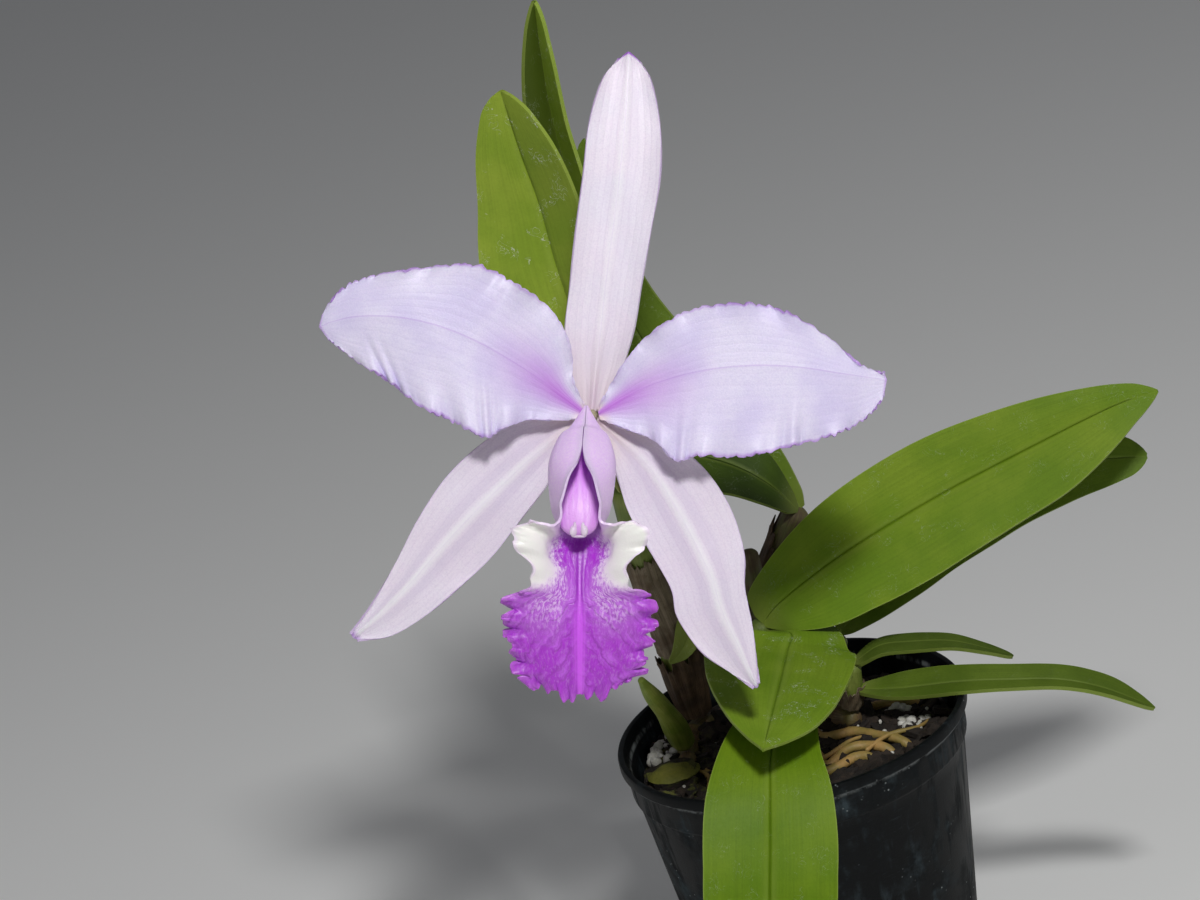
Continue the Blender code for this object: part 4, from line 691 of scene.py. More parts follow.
def settle(piece, material, slot, *nodes):
    """Give a finished piece its surface, its body and the nodes it stands for."""
    pick(piece)
    bpy.ops.object.transform_apply(location=True, rotation=True, scale=True)
    piece.data.materials.clear()
    piece.data.materials.append(material)
    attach(piece, BODY)
    if nodes:
        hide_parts(*nodes)


# Surfaces

class Value:
    """A number in a material; sums of these add the Math nodes."""

    def __init__(self, paint, socket):
        self.paint = paint
        self.socket = socket

    def _math(self, operation, first, second=0.0):
        made = self.paint.node("ShaderNodeMath", {"operation": operation}, {0: first, 1: second})
        return Value(self.paint, made.outputs[0])

    def __add__(self, other):
        return self._math("ADD", self, other)

    def __sub__(self, other):
        return self._math("SUBTRACT", self, other)

    def __mul__(self, other):
        return self._math("MULTIPLY", self, other)

    def __pow__(self, other):
        return self._math("POWER", self, other)

    def __rsub__(self, other):
        return self._math("SUBTRACT", other, self)

    def __abs__(self):
        return self._math("ABSOLUTE", self)

    __radd__ = __add__

    def sine(self):
        """The sine of the value."""
        return self._math("SINE", self)

    def lower(self, other):
        """The lower of two values."""
        return self._math("MINIMUM", self, other)

    def higher(self, other):
        """The higher of two values."""
        return self._math("MAXIMUM", self, other)

    def ease(self, low, high):
        """Rise smoothly from 0 at low to 1 at high."""
        made = self.paint.node("ShaderNodeMapRange", {"interpolation_type": "SMOOTHSTEP"},
                               {"Value": self, "From Min": low, "From Max": high})
        return Value(self.paint, made.outputs[0])

    def fall(self, low, high):
        """Fall smoothly from 1 at low to 0 at high."""
        return 1.0 - self.ease(low, high)


class Paint:
    """A material being mixed."""

    def __init__(self, name):
        self.material = bpy.data.materials.new(name)
        self.material.use_nodes = True
        self.tree = self.material.node_tree
        self.shader = self.tree.nodes["Principled BSDF"]

    def feed(self, target, value):
        """Link a socket, or set its fixed value."""
        if isinstance(value, Value):
            value = value.socket
        if isinstance(value, bpy.types.NodeSocket):
            self.tree.links.new(value, target)
        elif target.type == "RGBA" and len(value) == 3:
            target.default_value = (*value, 1.0)
        else:
            target.default_value = value

    def node(self, kind, settings=None, sockets=None):
        """Add a node: its settings first, then its sockets."""
        made = self.tree.nodes.new(kind)
        for setting, choice in (settings or {}).items():
            setattr(made, setting, choice)
        for socket, value in (sockets or {}).items():
            self.feed(made.inputs[socket], value)
        return made

    def place_mm(self, stretch=(1.0, 1.0, 1.0)):
        """The piece's own coordinates in millimetres."""
        own = self.node("ShaderNodeTexCoord").outputs["Object"]
        scale = tuple(1000.0 * value for value in stretch)
        return self.node("ShaderNodeMapping", {}, {"Vector": own, "Scale": scale}).outputs[0]

    def place_map(self, stretch=(1.0, 1.0, 1.0)):
        """The piece's map, across and along, stretched."""
        own = self.node("ShaderNodeTexCoord").outputs["UV"]
        return self.node("ShaderNodeMapping", {}, {"Vector": own, "Scale": stretch}).outputs[0]

    def parts(self, vector):
        """The three numbers of a vector."""
        made = self.node("ShaderNodeSeparateXYZ", {}, {0: vector})
        return [Value(self, socket) for socket in made.outputs]

    def noise(self, vector, scale, detail=3.0, roughness=0.5, distortion=0.0):
        """Soft noise around 0.5."""
        made = self.node("ShaderNodeTexNoise", {}, {
            "Vector": vector, "Scale": scale, "Detail": detail, "Roughness": roughness,
            "Distortion": distortion})
        return Value(self, made.outputs[0])

    def cells(self, vector, scale):
        """Distance within scattered cells."""
        made = self.node("ShaderNodeTexVoronoi", {}, {"Vector": vector, "Scale": scale})
        return Value(self, made.outputs["Distance"])

    def tone(self, name):
        """A number stored on the piece."""
        return Value(self, self.node("ShaderNodeAttribute", {"attribute_name": name}).outputs["Fac"])

    def blend(self, share, first, second):
        """Mix two colours by a share."""
        settings = {"data_type": "RGBA", "clamp_factor": True}
        return self.node("ShaderNodeMix", settings, {0: share, 6: first, 7: second}).outputs[2]

    def bump(self, height, distance, strength=1.0):
        """A relief whose full height is distance millimetres."""
        sockets = {"Height": height, "Distance": distance * MM, "Strength": strength}
        return self.node("ShaderNodeBump", {}, sockets).outputs[0]

    def finish(self, colour, roughness, normal=None, fixed=None):
        """Link up the surface and return the material."""
        self.feed(self.shader.inputs["Base Color"], colour)
        self.feed(self.shader.inputs["Roughness"], roughness)
        if normal is not None:
            self.feed(self.shader.inputs["Normal"], normal)
        for socket, value in (fixed or {}).items():
            self.feed(self.shader.inputs[socket], value)
        return self.material


def darker(colour, share):
    """A colour dimmed to a share of itself."""
    return tuple(value * share for value in colour)


def tepal_paint(name, face, flush, rim, look):
    """Sepal or petal tissue: veins, a grain with painted white glints, a flush, painted highlight and shade
    along the midrib ridge, and a rim.
    """
    paint = Paint(name)
    across_map, along, _ = paint.parts(paint.place_map())
    across = abs(across_map * 2.0 - 1.0)
    place = paint.place_mm()
    wander = paint.noise(paint.place_map((3.0, 5.0, 1.0)), 2.0, 2.0)
    lines = abs((across_map * look["veins"] * math.pi + wander * 3.0).sine())
    vein = (1.0 - lines) ** 5.0 * look["vein_strength"]
    fibre = paint.noise(paint.place_map((70.0, 5.0, 1.0)), 1.0, 3.0)
    grain = paint.noise(place, 2.6, 2.0, 0.6)
    cloud = paint.noise(place, 0.09, 2.0)
    colour = paint.blend(cloud.ease(0.35, 0.7), face, look["second"])
    sparkle = paint.noise(place, 5.5, 2.0, 0.7)
    colour = paint.blend((fibre - 0.5) * look["fibre"] + grain.ease(0.35, 0.75) * 0.26, colour, look["shade"])
    # painted glints: white flecks where the crystalline grain catches the light
    colour = paint.blend(sparkle.ease(0.56, 0.72) * 0.3, colour, WHITE)
    colour = paint.blend(vein, colour, look["vein"])
    # foot tint: the tissue's own colour on petals and lower sepals, painted shade on the upper sepal
    base = along.fall(0.0, look["base_reach"])
    colour = paint.blend(base * look["base_strength"], colour, look["base"])
    spread = across.fall(0.02, look["flush_width"])
    glow = along.fall(0.03, look["flush_reach"]) * spread * (0.75 + fibre * 0.5)
    colour = paint.blend(glow * look["flush_strength"], colour, flush)
    # painted highlight along the midrib ridge, then painted shade in a band on either side of it
    ridge_highlight = across.fall(0.02, 0.16) * along.ease(0.1, 0.3)
    colour = paint.blend(ridge_highlight * look["ridge"], colour, WHITE)
    ridge_shade = across.ease(0.12, 0.24) * across.fall(0.26, 0.55) * along.fall(0.8, 1.0)
    colour = paint.blend(ridge_shade * look["ridge"] * 0.6, colour, look["shade"])
    rib = across.fall(0.0, 0.018) * look["rib"]
    colour = paint.blend(rib * along.ease(0.05, 0.3), colour, rim)
    outer = 0.25 + along.ease(0.22, 0.6) * 0.75
    edge = across.ease(look["rim_start"], 1.0) * (0.5 + fibre * 0.7) * look["rim_strength"] * outer
    tip = along.ease(look["tip_start"], 1.0) * look["tip_strength"] * (1.0 - across * 0.4)
    colour = paint.blend(edge.higher(tip), colour, rim)
    relief = lines * 0.2 + fibre * 0.2 + grain * 0.35 + sparkle * 0.25
    normal = paint.bump(relief, 0.16, look["relief"])
    return paint.finish(colour, 0.5 - sparkle * 0.14, normal, SOFT_TISSUE)


def lip_paint(name, colours):
    """The lip: lilac side lobes, white ears and neck, a violet band, a magenta lobe."""
    paint = Paint(name)
    across_map, rows, _ = paint.parts(paint.place_map())
    back_half = (rows * LIP_ROWS_BACK).lower(LIP_ROWS_BACK * 0.5)
    along = back_half + (rows - 0.5).higher(0.0) * (2.0 - LIP_ROWS_BACK)
    across = abs(across_map * 2.0 - 1.0)
    place = paint.place_mm()
    grain = paint.noise(place, 2.4, 2.0, 0.6)
    wander = paint.noise(place, 0.35, 3.0)
    fleck = paint.noise(paint.place_map((60.0, 40.0, 1.0)), 1.0, 3.0, 0.65, 0.4)
    fan = across - along * 3.6
    branch = abs((fan * 17.0 + wander * 6.0).sine())
    fine_branch = abs((fan * 41.0 + wander * 14.0).sine())
    vein = (1.0 - branch) ** 1.6 * 0.7 + (1.0 - fine_branch) ** 2.0 * 0.4
    colour = paint.blend(grain.ease(0.3, 0.8) * 0.6, colours["side"], colours["side_light"])
    colour = paint.blend(along.ease(0.35, 0.43), colour, colours["white"])
    cream = along.ease(0.33, 0.4) * across.ease(0.3, 0.6)
    colour = paint.blend(cream * 0.5, colour, colours["cream"])
    lobe_edge = along.fall(0.28, 0.36) * across.ease(0.9, 1.0)
    colour = paint.blend(lobe_edge * 0.55, colour, colours["side_edge"])
    ear_edge = along.ease(0.34, 0.4) * along.fall(0.56, 0.62) * across.ease(0.93, 1.0)
    colour = paint.blend(ear_edge * 0.45, colour, colours["side"])
    reach = 0.46 + along.ease(0.5, 0.62) * 0.1 + along.ease(0.58, 0.74) * 1.2
    blot = paint.noise(place, 1.1, 3.0, 0.7)
    halo = across.fall(reach * 0.7, reach * 1.4) * along.ease(0.33, 0.42)
    colour = paint.blend(halo * 0.6, colour, colours["side_light"])
    stain = 1.0 - (across + (blot - 0.5) * 0.8 + (fleck - 0.5) * 0.25).ease(reach * 0.45, reach * 1.08)
    stain = stain * along.ease(0.31, 0.4)
    colour = paint.blend(stain * (0.6 + fleck * 0.75), colour, colours["magenta"])
    lobe = along.ease(0.6, 0.72)
    paler = wander.ease(0.42, 0.7) * 0.55 + along.fall(0.62, 0.8) * 0.35
    paler = (paler + fleck.ease(0.5, 0.7) * 0.3) * lobe
    colour = paint.blend(paler, colour, colours["pale_magenta"])
    colour = paint.blend(vein * lobe * wander.ease(0.3, 0.6) * 0.7, colour, colours["deep"])
    shoulder = across.ease(0.14, 0.3) * across.fall(0.5, 0.85) * along.fall(0.68, 0.86)
    shoulder = shoulder * lobe.higher(along.ease(0.5, 0.6)) * fleck.ease(0.4, 0.62)
    colour = paint.blend(shoulder * 0.6, colour, colours["side_light"])
    middle = across.fall(0.03, 0.15) * along.ease(0.33, 0.42) * (1.0 - along.ease(0.62, 0.95) * 0.6)
    stripe = abs((across_map * 150.0).sine())
    colour = paint.blend(middle * (0.6 + stripe * 0.12), colour, colours["violet"])
    ridge = across.fall(0.0, 0.035) * along.ease(0.5, 0.65)
    colour = paint.blend(ridge * 0.5, colour, colours["pink"])
    keel = across.fall(0.02, 0.13) * along.ease(0.64, 0.78)
    colour = paint.blend(keel * (0.45 + stripe * 0.3), colour, colours["pink"])
    rim = across.ease(0.86, 1.0).higher(along.ease(0.965, 1.0)) * lobe
    colour = paint.blend(rim * 0.45, colour, colours["rim"])
    relief = vein * lobe * -0.2 + fleck * 0.3 + grain * 0.3 + stripe * middle * 0.08
    normal = paint.bump(relief, 0.22, 0.8)
    return paint.finish(colour, 0.42 - grain * 0.1, normal, SOFT_TISSUE)


def leaf_paint(name, face, second, scale_marks=0.0, painted_shade_half=0.0):
    """A strap leaf: lengthwise lines, a faint painted shade along the midrib crease, painted shade over one
    half where asked, a pale margin and a soft gloss.
    """
    paint = Paint(name)
    across_map, along, _ = paint.parts(paint.place_map())
    across = abs(across_map * 2.0 - 1.0)
    place = paint.place_mm()
    cloud = paint.noise(place, 0.07, 3.0)
    fibre = paint.noise(paint.place_map((55.0, 3.0, 1.0)), 1.0, 3.0)
    grain = paint.noise(place, 1.6, 3.0, 0.6)
    colour = paint.blend(cloud.ease(0.3, 0.7), face, second)
    deeper = darker(face, 0.55)
    colour = paint.blend(fibre.ease(0.35, 0.75) * 0.2 + grain.ease(0.4, 0.8) * 0.16, colour, deeper)
    # painted shade: one half of the blade dimmed as if it faced away from the light
    if painted_shade_half:
        half = across_map.ease(0.49, 0.51)
        side = 1.0 - half if painted_shade_half < 0.0 else half
        colour = paint.blend(side * abs(painted_shade_half), colour, darker(face, 0.3))
    # painted shade: a dark line down the groove of the midrib
    crease = across.fall(0.0, 0.022)
    colour = paint.blend(crease * 0.32, colour, darker(face, 0.3))
    beside = across.ease(0.02, 0.05) * across.fall(0.05, 0.16)
    colour = paint.blend(beside * 0.18, colour, LEAF_MARGIN)
    margin = across.ease(0.978, 0.998)
    colour = paint.blend(margin * 0.5, colour, LEAF_MARGIN)
    foot = along.fall(0.0, 0.1)
    colour = paint.blend(foot * 0.3, colour, LEAF_FOOT)
    curl = paint.noise(place, 0.36, 1.0, 0.5, 2.2)
    patch = paint.noise(place, 0.2, 2.0)
    marks = (1.0 - abs(curl - 0.5).ease(0.004, 0.014)) * patch.ease(0.54, 0.6)
    specks = (1.0 - paint.cells(place, 0.55).ease(0.05, 0.14)) * paint.noise(place, 0.2).ease(0.5, 0.62)
    scale = (marks * 0.8).higher(specks) * scale_marks
    colour = paint.blend(scale, colour, LEAF_SCALE)
    haze = patch.ease(0.6, 0.8) * 0.07 * scale_marks
    colour = paint.blend(haze, colour, LEAF_SCALE)
    relief = fibre * 0.5 + grain * 0.3 + across.ease(0.0, 0.04) * 0.8 + scale * 0.6
    normal = paint.bump(relief, 0.14, 0.6)
    rough = 0.44 + grain * 0.12 + cloud * 0.1 + scale * 0.3
    return paint.finish(colour, rough, normal, {"Specular IOR Level": 0.18})


def stem_paint(name, face, second, dry, dry_share):
    """A ribbed stem, green where it lives and brown where its skin has dried."""
    paint = Paint(name)
    place = paint.place_mm()
    cloud = paint.noise(place, 0.2, 3.0)
    fibre = paint.noise(paint.place_map((40.0, 4.0, 1.0)), 1.0, 3.0)
    grain = paint.noise(place, 1.8, 3.0, 0.6)
    colour = paint.blend(cloud.ease(0.35, 0.68), face, second)
    colour = paint.blend(fibre.ease(0.4, 0.8) * 0.45, colour, darker(face, 0.45))
    dried = (cloud * 0.7 + fibre * 0.5).ease(1.05 - dry_share, 1.2 - dry_share)
    colour = paint.blend(dried, colour, dry)
    dots = 1.0 - paint.cells(place, 0.9).ease(0.06, 0.16)
    colour = paint.blend(dots * 0.4, colour, darker(dry, 0.35))
    relief = fibre * 0.7 + grain * 0.4
    normal = paint.bump(relief, 0.25, 0.9)
    return paint.finish(colour, 0.45 + dried * 0.3 + grain * 0.1, normal)


def paper_paint(name, face, second):
    """Dry sheath skin: parallel fibres, stains and small dark dots."""
    paint = Paint(name)
    place = paint.place_mm()
    fibre = paint.noise(paint.place_map((90.0, 3.0, 1.0)), 1.0, 4.0, 0.6)
    stain = paint.noise(place, 0.25, 4.0, 0.6)
    dots = 1.0 - paint.cells(place, 1.4).ease(0.08, 0.2)
    colour = paint.blend(stain.ease(0.35, 0.65), face, second)
    colour = paint.blend(fibre.ease(0.35, 0.7) * 0.6, colour, darker(face, 0.35))
    colour = paint.blend(dots * 0.6, colour, darker(face, 0.2))
    return paint.finish(colour, 0.75, paint.bump(fibre, 0.3))


def pot_paint(name, face):
    """Black nursery plastic with lime haze, runs, specks and scratches."""
    paint = Paint(name)
    place = paint.place_mm()
    _, _, height = paint.parts(place)
    haze = paint.noise(place, 0.06, 5.0, 0.62)
    runs = paint.noise(paint.place_mm((0.32, 0.32, 0.045)), 1.0, 4.0, 0.6)
    thin_runs = paint.noise(paint.place_mm((1.1, 1.1, 0.06)), 1.0, 3.0, 0.6)
    scratch = paint.noise(paint.place_mm((0.25, 0.25, 2.4)), 1.0, 3.0, 0.7)
    specks = 1.0 - paint.cells(place, 0.6).ease(0.05, 0.17)
    fine = paint.noise(place, 2.2, 3.0, 0.6)
    body = height.fall(POT_COLLAR_BOTTOM + 5.0, POT_COLLAR_BOTTOM + 7.5)
    deposit = haze.ease(0.46, 0.66) * 0.55 + runs.ease(0.48, 0.66) * 0.5 + thin_runs.ease(0.55, 0.75) * 0.25
    collar = height.ease(58.0, 66.0) * body
    deposit = deposit * (0.35 + body * 0.65 + collar * 0.35) * (0.75 + fine * 0.5)
    patches = paint.noise(place, 0.14, 4.0, 0.65).ease(0.44, 0.66)
    colour = paint.blend((deposit * 0.7 * (0.1 + patches)).lower(0.75), face, POT_HAZE)
    crust = specks * haze.ease(0.52, 0.64)
    colour = paint.blend(crust * 0.7, colour, POT_CRUST)
    line = (1.0 - abs(height - (POT_HEIGHT - POT_LIP_HEIGHT - 0.3)).ease(0.2, 0.9)) * runs.ease(0.4, 0.6)
    colour = paint.blend(line * 0.4, colour, POT_CRUST)
    scuff = scratch.ease(0.6, 0.74) * 0.22
    colour = paint.blend(scuff, colour, POT_HAZE)
    relief = deposit * 0.5 + fine * 0.3 + scratch * 0.2
    rough = 0.42 + (deposit * 0.45).lower(0.4)
    return paint.finish(colour, rough, paint.bump(relief, 0.12, 0.7), {"Specular IOR Level": 0.12})


def bark_paint(name, face, second, toned=False):
    """Bark: layered, dark and fibrous, each chip a little different."""
    paint = Paint(name)
    place = paint.place_mm((1.0, 1.0, 2.2))
    layer = paint.noise(place, 0.6, 4.0, 0.65, 0.6)
    grain = paint.noise(place, 2.5, 3.0, 0.6)
    share = layer.ease(0.4, 0.68)
    if toned:
        share = share * 0.5 + paint.tone("tone") * 0.7
    colour = paint.blend(share, face, second)
    colour = paint.blend(grain.ease(0.45, 0.8) * 0.5, colour, darker(face, 0.3))
    east, _, _ = paint.parts(paint.place_mm())
    left = east.fall(-30.0, -12.0)
    moss = left * paint.noise(place, 0.35, 3.0).ease(0.5, 0.68)
    colour = paint.blend(moss * 0.55, colour, MOSS_GREEN)
    relief = layer * 0.7 + grain * 0.4
    return paint.finish(colour, 0.85, paint.bump(relief, 0.5, 0.9))


def plain_grain_paint(name, face, second, relief=0.3, roughness=0.8, scale=1.2):
    """A grainy surface of two close tints."""
    paint = Paint(name)
    place = paint.place_mm()
    cloud = paint.noise(place, scale * 0.4, 4.0, 0.6)
    grain = paint.noise(place, scale * 3.0, 3.0, 0.6)
    colour = paint.blend(cloud.ease(0.35, 0.65), face, second)
    colour = paint.blend(grain.ease(0.4, 0.8) * 0.35, colour, darker(face, 0.6))
    return paint.finish(colour, roughness, paint.bump(cloud * 0.6 + grain * 0.5, relief))


def column_paint(name, colours):
    """The column: pink at its foot, violet-pink towards the cap, with pale fibres."""
    paint = Paint(name)
    _, along, _ = paint.parts(paint.place_map())
    place = paint.place_mm()
    grain = paint.noise(place, 2.4, 2.0, 0.6)
    fibre = paint.noise(paint.place_map((26.0, 3.0, 1.0)), 1.0, 3.0)
    colour = paint.blend(along.ease(0.3, 0.85), colours["pink"], colours["violet_pink"])
    colour = paint.blend(fibre.ease(0.45, 0.75) * 0.35, colour, colours["side_light"])
    return paint.finish(colour, 0.38, paint.bump(grain + fibre, 0.1, 0.6), SOFT_TISSUE)


def floor_paint(name, face):
    """The plain pale floor."""
    paint = Paint(name)
    grain = paint.noise(paint.place_mm(), 0.05, 2.0)
    colour = paint.blend(grain * 0.08, face, darker(face, 0.9))
    return paint.finish(colour, 0.9)


# The pieces

def leaf_place(midrib, left, right, facing, fold, curl):
    """Lay a leaf along its midrib, with its own half width on either side.

    Its foot and its tip are rounded off, and its midrib lies in a fine groove.
    """
    line = even(midrib)

    def place(along, across):
        centre = through(line, along)
        ahead = direction(line, along)
        up = through(facing, along)
        up = unit(up - ahead * np.sum(up * ahead, axis=1, keepdims=True))
        side = np.cross(ahead, up)
        reach = np.abs(across)[:, None]
        first = across[:, None] < 0.0
        tip = rounded((1.0 - along) / LEAF_TIP_ROUND, 0.03)
        foot = rounded(along / LEAF_FOOT_ROUND, 0.16)
        width = np.where(first, through(left, along), through(right, along)) * (tip * foot)[:, None]
        lift = np.where(first, fold[0], fold[1]) * reach - curl * reach ** 2.5
        lift = lift - 0.035 * hump(reach, 0.0, 0.05)
        sway = 0.02 * np.sin(7.0 * along + 2.0 * across)[:, None] * reach ** 3
        return centre + (side * across[:, None] + up * (lift + sway)) * width

    return place


def tepal_place(left, middle, right, depth, cup, keel, wave, wave_count, phase, teeth=0.0, creases=()):
    """Lay a sepal or petal between its two edges and its midrib.

    The rails hold (right, up) pairs from the foot to the tip, and depth is how
    far out each station stands.  cup bends the edges out, keel raises or sinks
    each half between midrib and edge, wave ruffles the edges wave_count times
    along the blade, teeth cuts them finely, and each crease is a (side, along,
    spread, depth) pucker.
    """

    def place(along, across):
        rib = through(middle, along)
        side = np.sign(across)
        edge = np.where(across[:, None] < 0.0, through(left, along), through(right, along))
        reach = np.abs(across)
        width = np.linalg.norm(edge - rib, axis=1) + 0.01
        cut = np.abs(np.sin(math.pi * (TEETH * along + 0.35 * np.sin(31.0 * along + side))))
        cut = cut + 0.6 * jitter(along, (19, 43, 71), phase + side)
        swell = np.sin(math.pi * np.clip(along, 0.0, 1.0)) ** 0.5
        trim = teeth * (cut - 0.7) * np.clip(along * 3.2 - 0.7, 0.0, 1.0)
        flat = rib + (edge - rib) * (reach + trim / width * reach ** 14)[:, None]
        out = through(depth, along)[:, 0] + through(cup, along)[:, 0] * reach ** 2
        out = out + keel * reach * (1.0 - reach)
        ripple = np.sin(2.0 * math.pi * wave_count * along + phase + 1.7 * side)
        ripple = ripple + 0.6 * np.sin(2.0 * math.pi * wave_count * 1.63 * along + 2.0 * phase)
        out = out + wave * ripple * swell * reach ** 5
        out = out + 0.2 * wave * jitter(along, (23, 37, 51), phase + 2.0 * side) * reach ** 12
        out = out + 0.18 * jitter(along + 0.15 * across, (2, 3, 5), phase) * swell
        for hand, spot, spread, height in creases:
            near = hump(along, spot, spread) * np.where(side == hand, 1.0, 0.0)
            folds = np.cos((along - spot) / spread * 5.0)
            out = out + height * near * folds * reach ** 3
        return flower_frame(np.column_stack([flat, out]))

    return place


def lip_place(along, across):
    """Lay the lip: a rolled tube, flared ears, a neck and a frilled lobe."""
    back_half = np.minimum(along, 0.5) * LIP_ROWS_BACK
    along = back_half + np.maximum(along - 0.5, 0.0) * (2.0 - LIP_ROWS_BACK)
    centres, girths, slope_rows, sweeps = zip(*LIP_STATIONS)
    spine = through(centres, along)
    girth = through(girths, along)[:, 0]
    slopes = through(slope_rows, along)
    sweep = through(sweeps, along)[:, 0]
    ahead = direction(centres, along)
    reach = np.abs(across)
    side = np.sign(across)
    rows = np.arange(len(along))
    sideways = np.zeros(len(along))
    rise = np.zeros(len(along))
    for step in range(WALL_STEPS):
        spot = (step + 0.5) / WALL_STEPS * reach * 4.0
        low = np.minimum(spot.astype(int), 3)
        share = spot - low
        share = share * share * (3.0 - 2.0 * share) * 0.35 + share * 0.65
        slope = np.radians(slopes[rows, low] * (1.0 - share) + slopes[rows, low + 1] * share)
        sideways += np.cos(slope) * girth * reach / WALL_STEPS
        rise += np.sin(slope) * girth * reach / WALL_STEPS
    front = ramp(along, FRONT_LOBE_START, 0.04)
    ear = hump(along, EAR_PLACE, 0.06)
    frill = FRILL * front * reach ** 6 + 1.1 * ear * reach ** 3
    beat = np.sin(2.0 * math.pi * FRILL_COUNT * along + 1.3 * side + 0.8 * np.sin(17.0 * along))
    beat_two = np.sin(2.0 * math.pi * 1.7 * FRILL_COUNT * along + 0.8 + 2.1 * side)
    rise = rise + frill * (beat + 0.5 * beat_two)
    sideways = sideways + 0.6 * frill * (beat_two - 0.3 * beat)
    scallop = np.abs(np.sin(math.pi * SCALLOPS * along + 0.8 * side + 0.6 * np.sin(23.0 * along))) ** 0.5
    sideways = sideways - 2.4 * front * reach ** 8 * (1.0 - scallop)
    rough = (0.95 * front + 0.8 * ear) * reach ** 9
    rise = rise + 0.85 * rough * jitter(along, (27, 43, 64), 0.7 + side)
    sideways = sideways + 0.95 * rough * jitter(along, (22, 37, 59), 2.1 - side)
    end = ramp(along, 0.86, 0.14)
    turn = (across + 1.0) / 2.0
    up = spine[:, 0] + rise * ahead[:, 1] + sweep * reach ** 2
    up = up + 0.7 * end ** 4 * np.sin(9.5 * across + 0.6)
    up = up + 1.8 * end ** 6 * (1.0 - np.abs(np.sin(math.pi * 6.0 * turn + 0.5)) ** 0.5)
    up = up + 0.95 * end ** 8 * jitter(turn, (8, 13, 22), 0.4)
    up = up + 0.45 * rough * jitter(along, (22, 35), 1.1 + side)
    out = spine[:, 1] - rise * ahead[:, 0] + 0.8 * end ** 4 * np.sin(12.0 * across)
    out = out + 0.7 * end ** 6 * jitter(turn, (8, 13, 19), 1.9)
    ridges = hump(reach, 0.0, 0.05) + 0.2 * hump(reach, 0.12, 0.03)
    out = out + 0.3 * ridges * ramp(along, 0.3, 0.1)
    pucker = 0.16 * np.sin(46.0 * across + 3.0 * np.sin(20.0 * along)) * ramp(along, 0.6, 0.1)
    out = out + 0.5 * pucker * reach
    shift = through(LIP_SIDEWAYS, along)[:, 0]
    return flower_frame(np.column_stack([shift + side * sideways, up, out]))


def mix_height(x, y):
    """Height of the mix's top, a little heaped up at the back left."""
    heap = math.exp(-((x + 22.0) ** 2 + (y - 18.0) ** 2) / 260.0)
    ripple = 0.5 * math.sin(0.35 * x + 1.0) * math.cos(0.31 * y)
    fade = max(0.0, 1.0 - (math.hypot(x, y) / 37.0) ** 6)
    return MIX_LEVEL + (MIX_MOUND * heap + ripple) * fade


def disc_place(along, across):
    """Lay a square grid out as a round disc of radius 1, a little domed and rough."""
    east, north = across, 2.0 * along - 1.0
    x = east * np.sqrt(1.0 - north ** 2 / 2.0)
    y = north * np.sqrt(1.0 - east ** 2 / 2.0)
    dome = 1.2 * (1.0 - np.hypot(x, y) ** 4)
    return np.column_stack([x, y, dome + 0.12 * np.sin(7.0 * x) * np.cos(6.0 * y)])


